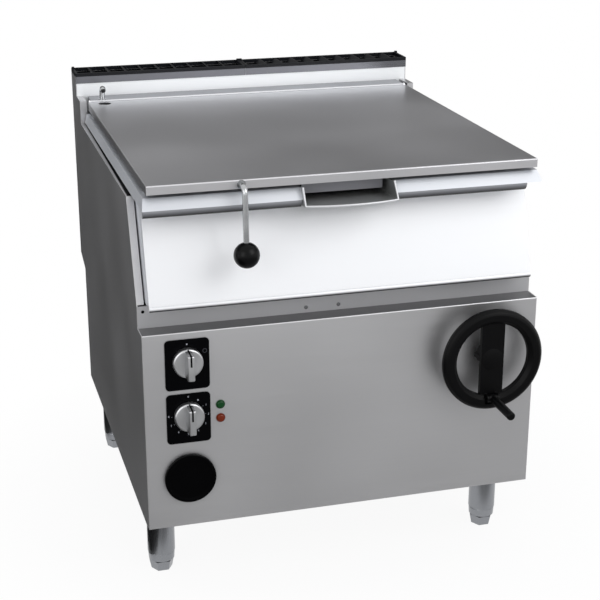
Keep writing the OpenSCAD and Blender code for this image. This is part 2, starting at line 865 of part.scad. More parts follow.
// Flanged bearing in the front panel
module shaft_bearing() {
    flange_dia = 60;
    flange_t = 5;
    nose = 6;
    barrel = 20;
    color("#4b4d50") set_out() difference() {
        union() {
            bar_y([wheel_x, sheet_t, wheel_z], flange_t, flange_dia);
            bar_y([wheel_x, -nose, wheel_z], nose + sheet_t, bearing_dia - 2 * run_gap);
            bar_y([wheel_x, sheet_t, wheel_z], barrel, bearing_dia);
        }
        bar_y([wheel_x, -nose - over, wheel_z], nose + sheet_t + barrel + 2 * over, shaft_dia + 2 * run_gap);
    }
}

// Shaft from the handwheel's hub to the gearbox
module drive_shaft() {
    end = worm_y - box_depth / 2 + shaft_seat - seat_gap;
    color("#a9abad") set_out() bar_y([wheel_x, -wheel_back, wheel_z], wheel_back + end, shaft_dia);
}

spoke_w = 46;
spoke_set = 10;
spoke_t = 10;
spoke_y = wheel_front - spoke_set;
hub_dia = 45;
hub_back = 12;
crank_ear_t = 5;
crank_ear_r = 8;
crank_half = 9;
crank_pin_dia = 6;
crank_z = wheel_z - crank_r;

// Handwheel: a bevelled rim, one broad flat spoke through the hub, and two ears for the crank handle
module handwheel() {
    r = wheel_dia / 2;
    r_in = r - wheel_rim;
    bevel = 8;
    pocket_gap = 2;
    pocket_w = 2 * (crank_half + crank_ear_t + pocket_gap);
    pocket_h = 2 * (crank_ear_r + 2 * pocket_gap);
    color("#1b1c1e") set_out() translate([wheel_x, 0, wheel_z]) difference() {
        union() {
            difference() {
                union() {
                    turned() polygon([
                        [r_in, wheel_back + bevel / 2], [r_in + bevel / 2, wheel_back], [r - bevel, wheel_back],
                        [r, wheel_back + bevel], [r, wheel_front - bevel], [r - bevel / 2, wheel_front - bevel / 4],
                        [r - bevel, wheel_front], [r_in + bevel, wheel_front], [r_in, wheel_front - bevel]]);
                    along_y(-spoke_y, -spoke_y + spoke_t) square([spoke_w, 2 * r_in + bevel], center = true);
                    bar_y([0, -spoke_y + spoke_t / 2, 0], spoke_y - spoke_t / 2 - hub_back, hub_dia);
                }
                span([-pocket_w / 2, -wheel_front - over, -crank_r - pocket_h / 2],
                    [pocket_w / 2, -spoke_y, -crank_r + pocket_h / 2]);
            }
            for (s = [-1, 1]) translate([s * (crank_half + crank_ear_t / 2), 0, 0])
                along_x(-crank_ear_t / 2, crank_ear_t / 2) {
                    translate([-wheel_front, -crank_r]) circle(crank_ear_r);
                    translate([-wheel_front, -crank_r - crank_ear_r])
                        square([wheel_front - spoke_y + spoke_t / 2, 2 * crank_ear_r]);
                }
        }
        bar_x([-crank_half - crank_ear_t - over, -wheel_front, -crank_r],
            2 * (crank_half + crank_ear_t + over), crank_pin_dia + 2 * run_gap);
        bar_y([0, -wheel_back, 0], wheel_back, shaft_dia + 2 * run_gap);
    }
}

// Pin of the folding crank handle
module crank_pin() {
    l = 2 * (crank_half + crank_ear_t);
    color("#8b8d8f") set_out() bar_x([wheel_x - l / 2, -wheel_front, crank_z], l, crank_pin_dia);
}

// Folding crank handle with its eye
module crank_handle() {
    r = crank_dia / 2;
    side_gap = 0.5;
    taper = 1;
    eye_w = 2 * (crank_half - side_gap);
    color("#1b1c1e") set_out() translate([wheel_x, -wheel_front, crank_z]) difference() {
        union() {
            bar_x([-eye_w / 2, 0, 0], eye_w, 2 * crank_ear_r);
            turned() polygon(concat(
                [[0, 0], [r - taper, 0], [r, crank_l / 3]],
                fold_points([r / 2, crank_l - r / 2], r / 2, 0, 90, 4),
                [[0, crank_l]]));
        }
        bar_x([-crank_half, 0, 0], 2 * crank_half, crank_pin_dia + 2 * run_gap);
    }
}

// Pan

tank_rear_gap = 9;
tank_y0 = tank_front_y;
tank_y1 = column_y - tank_rear_gap;
tank_mid = (tank_y0 + tank_y1) / 2;
tank_len = tank_y1 - tank_y0;
spout_half = spout_w / 2;
// Drop of the spout's lip below the rim, and of its inner end below the lip
lip_drop = 29;
spout_fall = 7;
spout_lip_z = rim_z - lip_drop;
spout_root_z = spout_lip_z - spout_fall;

// Outline of the tank's inside
module tank_opening() {
    translate([0, tank_mid])
        round_rect(2 * (tank_half - tank_wall), tank_len - 2 * tank_wall, tank_corner - tank_wall);
}

// Tank with a thick heated bottom, open towards the pouring spout
module tank() {
    color("#a7a9ab") set_out() difference() {
        along_z(tank_low, rim_z - rim_t) translate([0, tank_mid]) round_rect(2 * tank_half, tank_len, tank_corner);
        along_z(tank_bottom, rim_z) tank_opening();
        span([-spout_half + spout_t, tank_y0 - over, spout_root_z],
            [spout_half - spout_t, tank_y0 + tank_wall + over, rim_z]);
    }
}

side_lean = 5;
rim_half = pan_half + rim_over;
rim_gap = 5;
rim_end = column_y - rim_gap;
housing_gap = 11;
shelf_half = half_w - column_w - housing_gap;
shelf_gap = 4;
shelf_end = flue_y - shelf_gap;

// Rim of the pan: flat top, sloping front and side skirts, and the shelf under the hinge housing
module tank_rim() {
    lip = 10;
    low = rim_z - rim_drop;
    front = rim_front_y - rim_lean;
    color("#c9cbd0") set_out() difference() {
        union() {
            along_z(rim_z - rim_t, rim_z) {
                translate([-rim_half, rim_front_y]) square([2 * rim_half, rim_end - rim_front_y]);
                translate([-shelf_half, rim_end - rim_gap]) square([2 * shelf_half, shelf_end - rim_end + rim_gap]);
            }
            intersection() {
                along_x(-half_w, half_w)
                    polygon(folded([[rim_front_y, rim_z], [front, low], [front + lip, low]], sheet_t));
                along_y(front, rim_front_y + lip) polygon([
                    [-rim_half, rim_z], [rim_half, rim_z], [rim_half + side_lean, low], [-rim_half - side_lean, low]]);
            }
            both_sides() intersection() {
                along_y(front, rim_end)
                    polygon(folded([[rim_half, rim_z], [rim_half + side_lean, low]], -sheet_t));
                along_x(0, half_w) polygon([[rim_front_y, rim_z], [front, low], [rim_end, low], [rim_end, rim_z]]);
            }
        }
        along_z(rim_z - rim_t - over, rim_z + over) tank_opening();
        span([-spout_half, front - over, low - over], [spout_half, tank_y0 + over, rim_z + over]);
    }
}

// Pouring spout: two cheeks and a floor with a bowed lip
module pouring_spout() {
    nose_y = 6;
    nose_rise = 3;
    pitch_up = atan(spout_fall / (tank_y0 + spout_reach));
    root_y = tank_y0 - spout_t * sin(pitch_up);
    floor_l = root_y + spout_reach;
    bow_r = (spout_half * spout_half + spout_bow * spout_bow) / (2 * spout_bow);
    color("#d4d6da") set_out() {
        both_sides() along_x(spout_half - spout_t, spout_half) polygon([
            [tank_y0, spout_root_z - spout_t], [tank_y0, rim_z], [rim_front_y, rim_z], [-nose_y, rim_z + nose_rise],
            [-spout_reach, spout_lip_z], [-spout_reach, spout_lip_z - spout_t]]);
        translate([0, root_y, spout_root_z - spout_t]) rotate([-pitch_up, 0, 0]) linear_extrude(spout_t) {
            translate([-spout_half, -floor_l]) square([2 * spout_half, floor_l]);
            intersection() {
                translate([0, -floor_l - spout_bow + bow_r]) circle(bow_r, $fn = 4 * $fn);
                translate([-spout_half, -floor_l - spout_bow]) square([2 * spout_half, spout_bow + over]);
            }
        }
    }
}

apron_gap = 3;
apron_drop = 23;
apron_foot_z = sill_top + apron_gap;
apron_head_z = rim_z - apron_drop;
// Direction up the apron's face, as [y, z]
apron_up = [apron_lean, apron_head_z - apron_foot_z] / norm([apron_lean, apron_head_z - apron_foot_z]);

// Sloping front skin of the pan with a rolled lower edge, notched for the spout
module apron() {
    roll = 5;
    lip = 8;
    roll_lip = 4;
    slope = atan2(apron_up[1], apron_up[0]);
    roll_at = [0, apron_foot_z] + roll * [apron_up[1], -apron_up[0]] + roll * apron_up;
    color("#eceef0") set_out() difference() {
        along_x(-pan_half, pan_half) polygon(folded(concat(
            [[apron_lean + lip, apron_head_z], [apron_lean, apron_head_z]],
            fold_points(roll_at, roll, slope + 90, 270, 5),
            [roll_at + [roll_lip, -roll]]), casing_t));
        span([-spout_half - over, -spout_reach, spout_root_z - spout_t], [spout_half + over, tank_y0, rim_z]);
    }
}

casing_gap = 6;
casing_low = sill_top + casing_gap;
casing_rear = column_y - casing_gap;
casing_skirt = 36;

// Side skin of the pan between the apron and the rear cover
module pan_side() {
    corner = 12;
    seat = casing_t / apron_up[1] + seat_gap;
    head = apron_head_z - casing_t - seat_gap;
    foot = casing_low + corner;
    color("#b4b6b9") along_x(pan_half - casing_t, pan_half) polygon([
        [apron_up[0] / apron_up[1] * (foot - apron_foot_z) + seat, foot], [apron_lean + seat, head],
        [apron_lean + 2 * corner, head], [apron_lean + 2 * corner, rim_z - rim_t], [casing_rear, rim_z - rim_t],
        [casing_rear, tank_low - casing_skirt], [slant_y, casing_low], [pivot_y, casing_low]]);
}
module pan_side_right() {
    set_out() pan_side();
}
module pan_side_left() {
    set_out() mirror([1, 0, 0]) pan_side();
}

// Rear skin of the pan below the hinge housing
module pan_rear_cover() {
    color("#b4b6b9") set_out() span(
        [-pan_half + casing_t, casing_rear - casing_t, tank_low - casing_skirt],
        [pan_half - casing_t, casing_rear, rim_z - rim_t]);
}

// Two arms under the tank that end in the eyes on the tilting axis
module pan_bearers() {
    y1 = tank_y1 - tank_corner;
    color("#6f7173") set_out() both_sides() along_x(arm_x, arm_x + arm_t) difference() {
        union() {
            translate([pivot_y, pivot_z]) circle(eye_r);
            polygon([
                [pivot_y, pivot_z - eye_r], [slant_y, tank_low - arm_h], [y1, tank_low - arm_h], [y1, tank_low],
                [tank_y0, tank_low], [pivot_y, pivot_z + eye_r]]);
        }
        translate([pivot_y, pivot_z]) circle(d = pin_dia + 2 * run_gap);
    }
}

heater_gap = 12;
heater_half = arm_x - heater_gap;
heater_h = 30;
element_d = 8.5;
element_inset = 50;
element_lead = 50;

// Three hairpin heating elements under the tank's bottom
module heating_elements() {
    count = 3;
    bend = 2 * (heater_half - element_inset) / (3 * count - 1);
    l = tank_len - element_lead - 2 * bend;
    color("#55504a") set_out() for (i = [0 : count - 1])
        translate([(i - (count - 1) / 2) * 3 * bend, tank_y1 - element_lead, tank_low - element_d / 2 - seat_gap]) {
            for (s = [-1, 1]) bar_y([s * bend, -l, 0], l, element_d);
            translate([0, -l, 0]) rotate([0, 0, 180]) rotate_extrude(angle = 180) translate([bend, 0]) circle(d = element_d);
        }
}

// Slab of insulation below the heating elements
module insulation() {
    inset = 2 * casing_t;
    color("#d9c79a") set_out() span(
        [-heater_half + inset, tank_y0 + inset, tank_low - heater_h + casing_t],
        [heater_half - inset, tank_y1 - inset, tank_low - element_d - 2 * seat_gap]);
}

// Tray that holds the insulation under the tank
module heater_cover() {
    color("#8f9193") set_out() difference() {
        span([-heater_half, tank_y0, tank_low - heater_h], [heater_half, tank_y1, tank_low]);
        span([-heater_half + casing_t, tank_y0 + casing_t, tank_low - heater_h + casing_t],
            [heater_half - casing_t, tank_y1 - casing_t, tank_low + over]);
    }
}

// Lid hinge and water filling

hinge_pin = 6;
ear_gap = 1.5;
hinge_ear_x = shelf_half + ear_gap;
hinge_ear_t = 3;
hinge_ear_r = 5.5;
pin_past = 1.5;
housing_rise = 3;
housing_z = lid_z + housing_rise;
fill_x = -lid_half + fill_inset;
neck_in = 7.5;
neck_y = hinge_y + neck_in;
neck_dia = 13;
neck_bend = 13;
neck_rise = 15;
neck_top = housing_z + neck_rise;
neck_turn = 130;
// The filling hole lies as far from the hinge's axis as the gooseneck's outlet does
fill_ahead = 31;
fill_y = hinge_y - fill_ahead;

// Closed housing on the rim's rear shelf, with the lid's hinge pins at both ends
module hinge_housing() {
    nose_r = 3;
    end_t = 3;
    corner = [column_y + nose_r, housing_z - nose_r];
    color("#c4c6c9") set_out() {
        along_x(-shelf_half, shelf_half) polygon(folded(concat(
            [[column_y, rim_z]], fold_points(corner, nose_r, 180, 90, 4),
            [[shelf_end, housing_z], [shelf_end, rim_z]]), -sheet_t));
        both_sides() {
            along_x(shelf_half - end_t, shelf_half) polygon(concat(
                [[column_y, rim_z]], fold_points(corner, nose_r, 180, 90, 4),
                [[shelf_end, housing_z], [shelf_end, rim_z]]));
            bar_x([shelf_half - end_t / 2, hinge_y, hinge_z],
                hinge_ear_x + hinge_ear_t + pin_past - shelf_half + end_t / 2, hinge_pin);
        }
    }
}

// Gooseneck of the water filling on the hinge housing
module filling_spout() {
    collar = 3;
    collar_t = 1.5;
    color("#d0d2d4") set_out() translate([fill_x, neck_y, housing_z]) {
        cylinder(h = neck_rise, d = neck_dia);
        cylinder(h = collar_t, d = neck_dia + 2 * collar);
        translate([0, -neck_bend, neck_rise]) rotate([90, 0, 90])
            rotate_extrude(angle = neck_turn) translate([neck_bend, 0]) circle(d = neck_dia);
    }
}

// Black outlet insert at the gooseneck's end
module spout_outlet() {
    l = 3;
    inset = 1.5;
    color("#151618") set_out() translate([fill_x, neck_y - neck_bend, neck_top])
        rotate([neck_turn, 0, 0]) translate([0, neck_bend, 0]) cylinder(h = l, d = neck_dia - 2 * inset);
}

// Lid

skin_t = 1.5;

// Outer skin of the lid with its folded edges and its two hinge ears
module lid_skin() {
    color("#77787a") set_out() difference() {
        union() {
            difference() {
                span([-lid_half, -lid_reach, lid_low], [lid_half, lid_rear, lid_z]);
                span([-lid_half + skin_t, -lid_reach + skin_t, lid_low - over],
                    [lid_half - skin_t, lid_rear - skin_t, lid_z - skin_t]);
            }
            both_sides() along_x(hinge_ear_x, hinge_ear_x + hinge_ear_t) {
                translate([hinge_y, hinge_z]) circle(hinge_ear_r);
                polygon([
                    [lid_rear - skin_t, lid_low + skin_t], [hinge_y, hinge_z - hinge_ear_r],
                    [hinge_y, hinge_z + hinge_drop], [lid_rear - skin_t, lid_z]]);
            }
        }
        translate([fill_x, fill_y, lid_low]) cylinder(h = 2 * lid_h, d = fill_hole);
        both_sides() bar_x([hinge_ear_x - over, hinge_y, hinge_z], hinge_ear_t + 2 * over, hinge_pin + 2 * run_gap);
    }
}

// Lining of the lid with a drip frame that reaches into the tank, and four rubber pads
module lid_lining() {
    lining_t = 1.5;
    lining_in = 2;
    drip = 12;
    drip_in = 20;
    pad_dia = 14;
    pad_in = 25;
    edge = skin_t + seat_gap;
    z = lid_low + lining_in;
    y1 = tank_y1 - 2 * drip_in;
    color("#a7a9ab") set_out() difference() {
        union() {
            span([-lid_half + edge, -lid_reach + edge, z], [lid_half - edge, lid_rear - edge, z + lining_t]);
            difference() {
                span([-tank_half + drip_in, tank_y0 + drip_in, rim_z - drip], [tank_half - drip_in, y1, z + lining_t]);
                span([-tank_half + drip_in + lining_t, tank_y0 + drip_in + lining_t, rim_z - drip - over],
                    [tank_half - drip_in - lining_t, y1 - lining_t, z]);
            }
            for (sx = [-1, 1], y = [tank_y0 - pad_in, rim_end - pad_in])
                translate([sx * (tank_half + pad_dia / 2), y, rim_z + seat_gap]) cylinder(h = z - rim_z, d = pad_dia);
        }
        translate([fill_x, fill_y, lid_low - over]) cylinder(h = 2 * lid_h, d = fill_hole);
    }
}

rod_out = 34;
rod_bend = 14;
rod_lean = 4;
rod_z = lid_low + lid_h / 2;
// Length of the rod's hanging part from its bend to the ball's middle
rod_drop = 120;
rod_end = 14;

// Places what hangs from the bend of the handle's rod
module at_bend() {
    set_out() translate([-handle_x, -rod_out + rod_bend, rod_z - rod_bend]) children();
}

// Bent rod of the lid handle with its weld collar
module lid_handle_rod() {
    collar_t = 2;
    stub = rod_out - rod_bend - lid_reach;
    l = rod_drop - rod_end;
    color("#cfd1d4") at_bend() {
        bar_y([0, 0, rod_bend], stub, rod_dia);
        bar_y([0, stub - collar_t, rod_bend], collar_t, lid_h);
        rotate([90, 0, 90]) rotate([0, 0, 90])
            rotate_extrude(angle = 90 - rod_lean) translate([rod_bend, 0]) circle(d = rod_dia);
        rotate([-rod_lean, 0, 0]) translate([0, -rod_bend, -l]) cylinder(h = l, d = rod_dia);
    }
}

// Ball of the lid handle, bored for the rod
module lid_handle_ball() {
    bore = ball_dia / 2 + rod_end;
    color("#131416") at_bend() rotate([-rod_lean, 0, 0]) translate([0, -rod_bend, -rod_drop]) difference() {
        sphere(d = ball_dia);
        translate([0, 0, rod_end - seat_gap]) cylinder(h = bore, d = rod_dia + 2 * run_gap);
    }
}

base_tray();
left_side_panel();
right_side_panel();
front_panel();
recess_strip();
panel_screws();
rear_panel();
flue_front();
flue_trim();
flue_grille_left();
flue_grille_right();
leg_tubes();
foot_front_left();
foot_front_right();
foot_rear_left();
foot_rear_right();
cross_beam();
pivot_brackets();
pivot_pins();
upper_dial_plate();
lower_dial_plate();
selector_switch();
thermostat();
selector_knob();
thermostat_knob();
green_lamp();
amber_lamp();
tap_knob();
water_valve();
water_pipe();
terminal_box();
cable_gland();
shaft_bearing();
gearbox();
gearbox_stand();
shaft_support();
drive_shaft();
handwheel();
crank_pin();
crank_handle();
pinion_shaft();
tank();
tank_rim();
pouring_spout();
apron();
pan_side_left();
pan_side_right();
pan_rear_cover();
pan_bearers();
heating_elements();
insulation();
heater_cover();
quadrant_gear();
hinge_housing();
filling_spout();
spout_outlet();
lid_skin();
lid_lining();
lid_handle_rod();
lid_handle_ball();
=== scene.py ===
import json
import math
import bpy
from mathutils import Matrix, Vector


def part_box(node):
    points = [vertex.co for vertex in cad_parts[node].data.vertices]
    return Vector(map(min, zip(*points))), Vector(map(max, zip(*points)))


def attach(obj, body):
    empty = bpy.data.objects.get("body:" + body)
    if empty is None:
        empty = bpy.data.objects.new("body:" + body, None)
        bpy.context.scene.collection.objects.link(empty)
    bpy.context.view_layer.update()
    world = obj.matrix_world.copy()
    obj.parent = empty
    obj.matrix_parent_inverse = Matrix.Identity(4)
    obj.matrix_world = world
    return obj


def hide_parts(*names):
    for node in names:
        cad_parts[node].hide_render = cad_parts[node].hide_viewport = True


bl_info = {
    "name": "Tilting Bratt Pan",
    "version": (1, 0, 0),
    "blender": (4, 5, 0),
    "location": "View3D > Sidebar > Bratt Pan",
    "description": "Finishes the packed frame of a floor-standing tilting bratt pan and sets up its studio",
    "category": "Object",
}

import bmesh
import bpy
from bpy.props import FloatProperty, FloatVectorProperty, IntProperty, PointerProperty
from mathutils import Matrix, Vector

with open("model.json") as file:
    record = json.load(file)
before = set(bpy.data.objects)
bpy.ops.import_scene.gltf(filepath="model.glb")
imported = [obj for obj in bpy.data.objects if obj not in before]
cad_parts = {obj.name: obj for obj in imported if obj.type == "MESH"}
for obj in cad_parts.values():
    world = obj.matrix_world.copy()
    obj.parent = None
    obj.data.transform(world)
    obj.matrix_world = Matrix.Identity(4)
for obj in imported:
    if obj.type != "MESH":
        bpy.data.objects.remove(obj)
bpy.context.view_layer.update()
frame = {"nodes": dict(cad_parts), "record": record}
NODES = frame["nodes"]
BODY_OF = {node: body for body, nodes in frame["record"]["behaviour"]["bodies"].items() for node in nodes}
SLOT_OF = {name: piece.data.materials[0].name for name, piece in NODES.items()}
MM = 0.001

FRONT_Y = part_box("front_panel")[0].y
PLATE_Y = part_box("upper_dial_plate")[0].y
# Height of the lid's flat sheet
LID_TOP = 0.903
# Axes of the knobs and of the handwheel, as x and z
KNOBS = {
    "selector_knob": (-0.3345, 0.5345),
    "thermostat_knob": (-0.3345, 0.4165),
}
WHEEL_AXIS = (0.307, 0.487)
# The wing grip's foot ends this far inside the knob's disc
WING_INSET = 2.6 * MM
# What brushed_steel takes for a finer belt, whose streaks hardly show
FINE = {"line": 1.1, "height": 0.003, "streak": 0.012}


def linear(code):
    """Linear RGB of an sRGB hex colour."""
    parts = [int(code[i : i + 2], 16) / 255 for i in (1, 3, 5)]
    return tuple(p / 12.92 if p <= 0.04045 else ((p + 0.055) / 1.055) ** 2.4 for p in parts)


def add(tree, kind, settings=None, links=None):
    """Adds a node. A setting is one of its inputs where it has that socket, and otherwise a property."""
    node = tree.nodes.new(kind)
    for key, value in (settings or {}).items():
        if isinstance(key, int) or key in node.inputs:
            node.inputs[key].default_value = value
        else:
            setattr(node, key, value)
    for key, source in (links or {}).items():
        tree.links.new(source, node.inputs[key])
    return node


def blank(name):
    """Material of that name with an empty tree and an output; the frame's own keeps its pieces."""
    material = bpy.data.materials.get(name) or bpy.data.materials.new(name)
    material.use_nodes = True
    material.node_tree.nodes.clear()
    return material, material.node_tree, add(material.node_tree, "ShaderNodeOutputMaterial")


def grain(tree, size, detail=2.0):
    """Noise on Object coordinates, where size is the grain in metres along x, y and z."""
    place = add(tree, "ShaderNodeTexCoord")
    stretch = add(tree, "ShaderNodeMapping", {"Scale": [1 / s for s in size]},
                  {"Vector": place.outputs["Object"]})
    return add(tree, "ShaderNodeTexNoise", {"Scale": 1.0, "Detail": detail}, {"Vector": stretch.outputs[0]})


def spread(tree, source, low, high):
    """Map Range from the middle of a noise to low and high."""
    node = add(tree, "ShaderNodeMapRange", {"From Min": 0.3, "From Max": 0.7, "To Min": low, "To Max": high})
    tree.links.new(source, node.inputs["Value"])
    return node.outputs[0]


def shade(tree, colour, source, depth):
    """Colour that a pattern darkens by depth."""
    dark = [c * (1 - depth) for c in colour] + [1]
    mix = add(tree, "ShaderNodeMix", {"data_type": "RGBA"})
    mix.inputs[6].default_value = dark
    mix.inputs[7].default_value = [*colour, 1]
    tree.links.new(source, mix.inputs[0])
    return mix.outputs[2]


def in_seams(tree, tint, reach, depth):
    """Colour with painted shade that darkens it in seams and folds, where little light comes in."""
    near = add(tree, "ShaderNodeAmbientOcclusion", {"samples": 6, "Distance": reach})
    soft = add(tree, "ShaderNodeMapRange",
               {"From Min": 0.25, "From Max": 0.95, "To Min": 1 - depth, "To Max": 1.0},
               {"Value": near.outputs["AO"]})
    seam_shaded = add(tree, "ShaderNodeVectorMath", {"operation": "SCALE"}, {0: tint, "Scale": soft.outputs[0]})
    return seam_shaded.outputs[0]


def by_slope(tree, tint, low, high, low_share, high_share):
    """Colour scaled by how far the sheet faces up: painted shade on ledges and undersides."""
    face = add(tree, "ShaderNodeNewGeometry")
    up = add(tree, "ShaderNodeSeparateXYZ", links={0: face.outputs["Normal"]})
    share = add(tree, "ShaderNodeMapRange",
                {"From Min": low, "From Max": high, "To Min": low_share, "To Max": high_share},
                {"Value": up.outputs["Z"]})
    painted_shade = add(tree, "ShaderNodeVectorMath", {"operation": "SCALE"}, {0: tint, "Scale": share.outputs[0]})
    return painted_shade.outputs[0]


def brushed_steel(name, colour, roughness, run, line=1.6, height=0.012, streak=0.035, cloud=0.06,
                  metallic=1.0, seam_shade=0.0, slope_shade=None):
    """Cold-rolled stainless steel sheet, belt-brushed along one axis. To the eye: fine streaks along the
    run, broad soft clouds in the gloss, a blurred reflection and painted shade in its seams. The belt's
    lines are 0.1 mm apart, and drawn `line` mm apart, because finer ones vanish in the picture. `streak`
    is how much they change the roughness, and `cloud` how much the clouds darken. The seam setting is
    how deep the painted shade in seams goes, and the slope setting paints shade by how far the sheet
    faces up. A sheet whose `metallic` is below 1 shows paler than what it mirrors."""
    material, tree, out = blank(name)
    streak_run, cloud_size, cloud_gloss, seam_shade_reach = 0.22, 0.34, 0.03, 40 * MM
    size = [line * MM] * 3
    size["xyz".index(run)] = streak_run
    streaks = grain(tree, size, 3.0)
    clouds = grain(tree, [cloud_size] * 3, 1.0)
    both = add(tree, "ShaderNodeMath", {"operation": "ADD"})
    tree.links.new(spread(tree, streaks.outputs[0], -streak, streak), both.inputs[0])
    soft = spread(tree, clouds.outputs[0], roughness - cloud_gloss, roughness + cloud_gloss)
    tree.links.new(soft, both.inputs[1])
    tint = shade(tree, colour, spread(tree, clouds.outputs[0], 0.0, 1.0), cloud)
    # Painted shade, darker in seams and folds
    if seam_shade:
        tint = in_seams(tree, tint, seam_shade_reach, seam_shade)
    # Painted shade by how far the sheet faces up
    if slope_shade:
        tint = by_slope(tree, tint, *slope_shade)
    bump = add(tree, "ShaderNodeBump", {"Strength": 0.35, "Distance": height * MM},
               {"Height": streaks.outputs[0]})
    steel = add(tree, "ShaderNodeBsdfPrincipled", {"Metallic": metallic},
                {"Base Color": tint, "Roughness": both.outputs[0], "Normal": bump.outputs[0]})
    tree.links.new(steel.outputs[0], out.inputs[0])
    return material


def turned_metal(name, colour, roughness, speck=1.2, height=0.01):
    """Ground, cast or plated metal with a fine even grain. To the eye: a smooth, slightly mottled gloss."""
    material, tree, out = blank(name)
    fine = grain(tree, [speck * MM] * 3, 4.0)
    broad = grain(tree, [30 * MM] * 3, 2.0)
    tint = shade(tree, colour, spread(tree, broad.outputs[0], 0.0, 1.0), 0.12)
    bump = add(tree, "ShaderNodeBump", {"Strength": 0.4, "Distance": height * MM},
               {"Height": fine.outputs[0]})
    metal = add(tree, "ShaderNodeBsdfPrincipled", {"Metallic": 1.0},
                {"Base Color": tint, "Normal": bump.outputs[0],
                 "Roughness": spread(tree, broad.outputs[0], roughness - 0.05, roughness + 0.05)})
    tree.links.new(metal.outputs[0], out.inputs[0])
    return material


def moulded_plastic(name, colour, roughness, speck=0.9, height=0.03, specular=0.5):
    """Moulded thermoset or nylon with a spark-eroded skin. To the eye: a deep even colour whose highlights
    break up a little. The skin's pits are 0.2 mm, and drawn `speck` mm wide so that they show."""
    material, tree, out = blank(name)
    fine = grain(tree, [speck * MM] * 3, 3.0)
    broad = grain(tree, [50 * MM] * 3, 2.0)
    tint = shade(tree, colour, spread(tree, broad.outputs[0], 0.0, 1.0), 0.15)
    bump = add(tree, "ShaderNodeBump", {"Strength": 0.5, "Distance": height * MM},
               {"Height": fine.outputs[0]})
    plastic = add(tree, "ShaderNodeBsdfPrincipled", {"IOR": 1.5, "Specular IOR Level": specular},
                  {"Base Color": tint, "Normal": bump.outputs[0],
                   "Roughness": spread(tree, broad.outputs[0], roughness - 0.04, roughness + 0.04)})
    tree.links.new(plastic.outputs[0], out.inputs[0])
    return material


def lamp_lens(name, colour):
    """Clear-coated polycarbonate lens over a dark lamp. To the eye: a deep colour with one sharp glint,
    darker in the middle, where the unlit lamp stands behind it."""
    material, tree, out = blank(name)
    ribs = grain(tree, [1.5 * MM] * 3, 1.0)
    tint = shade(tree, colour, spread(tree, ribs.outputs[0], 0.0, 1.0), 0.35)
    lens = add(tree, "ShaderNodeBsdfPrincipled",
               {"IOR": 1.58, "Roughness": 0.22, "Specular IOR Level": 0.15, "Coat Weight": 0.15,
                "Coat Roughness": 0.05}, {"Base Color": tint})
    tree.links.new(lens.outputs[0], out.inputs[0])
    return material


def mineral_wool(name, colour):
    """Pressed mineral wool. To the eye: a dull, matted mass of fibres about 4 mm long."""
    material, tree, out = blank(name)
    fibres = grain(tree, [4 * MM, 0.8 * MM, 0.8 * MM], 6.0)
    tint = shade(tree, colour, spread(tree, fibres.outputs[0], 0.0, 1.0), 0.5)
    bump = add(tree, "ShaderNodeBump", {"Strength": 1.0, "Distance": 0.8 * MM}, {"Height": fibres.outputs[0]})
    wool = add(tree, "ShaderNodeBsdfPrincipled", {"Roughness": 0.95, "Specular IOR Level": 0.2},
               {"Base Color": tint, "Normal": bump.outputs[0]})
    tree.links.new(wool.outputs[0], out.inputs[0])
    return material


# Pieces


def new_piece(name, mesh, body, material):
    """Links a finished mesh as a piece that rides on a body and has the given finish."""
    piece = bpy.data.objects.new(name, mesh)
    bpy.context.scene.collection.objects.link(piece)
    mesh.materials.clear()
    mesh.materials.append(material)
    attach(piece, body)
    return piece


def from_bmesh(name, shape, smooth_angle=None):
    """Mesh from a bmesh with its doubles merged and its faces turned outwards."""
    bmesh.ops.remove_doubles(shape, verts=shape.verts, dist=1e-6)
    bmesh.ops.recalc_face_normals(shape, faces=shape.faces)
    mesh = bpy.data.meshes.new(name)
    shape.to_mesh(mesh)
    shape.free()
    if smooth_angle is not None:
        for face in mesh.polygons:
            face.use_smooth = True
        mesh.set_sharp_from_angle(angle=math.radians(smooth_angle))
    return mesh


def lathe(profile, steps=64):
    """Solid of revolution about local Z from (radius, height) points. They start and end on the axis, or
    come back to the first point."""
    shape = bmesh.new()
    turns = [2 * math.pi * i / steps for i in range(steps)]
    rings = []
    for radius, height in profile:
        ring = turns if radius else turns[:1]
        rings.append([shape.verts.new((radius * math.cos(a), radius * math.sin(a), height)) for a in ring])
    for low, high in zip(rings, rings[1:]):
        for i in range(steps):
            j = (i + 1) % steps
            loop = [low[i % len(low)], low[j % len(low)], high[j % len(high)], high[i % len(high)]]
            loop = [v for k, v in enumerate(loop) if v not in loop[:k]]
            if len(loop) > 2:
                shape.faces.new(loop)
    return shape


def forwards(x, y, z):
    """Matrix that turns local Z to the front, with local Y up, and moves it to a place."""
    return Matrix.Translation((x, y, z)) @ Matrix.Rotation(math.radians(90), 4, "X")


def skinned(shape, rings):
    """The shape with faces between rings of vertices, and with its first and last ring closed."""
    count = len(rings[0])
    for a, b in zip(rings, rings[1:]):
        for k in range(count):
            n = (k + 1) % count
            shape.faces.new([a[k], a[n], b[n], b[k]])
    shape.faces.new(rings[0])
    shape.faces.new(rings[-1][::-1])
    return shape


def ribbon(path, width, thickness):
    """Bar of a given width across X along a path of (y, z) points, centred on it."""
    shape = bmesh.new()
    rows = []
    for i, point in enumerate(path):
        here = Vector(point)
        before = here - Vector(path[i - 1]) if i else Vector(path[1]) - here
        after = Vector(path[i + 1]) - here if i < len(path) - 1 else here - Vector(path[i - 1])
        before.normalize()
        after.normalize()
        side = Vector((-before.y - after.y, before.x + after.x))
        side *= thickness / side.length_squared
        back, front = here - side, here + side
        corners = ((-1, back), (1, back), (1, front), (-1, front))
        rows.append([shape.verts.new((s * width / 2, p.x, p.y)) for s, p in corners])
    return skinned(shape, rows)


def prism(profile, x0, x1):
    """Bar along X with a section of (y, z) points."""
    shape = bmesh.new()
    return skinned(shape, [[shape.verts.new((x, y, z)) for y, z in profile] for x in (x0, x1)])


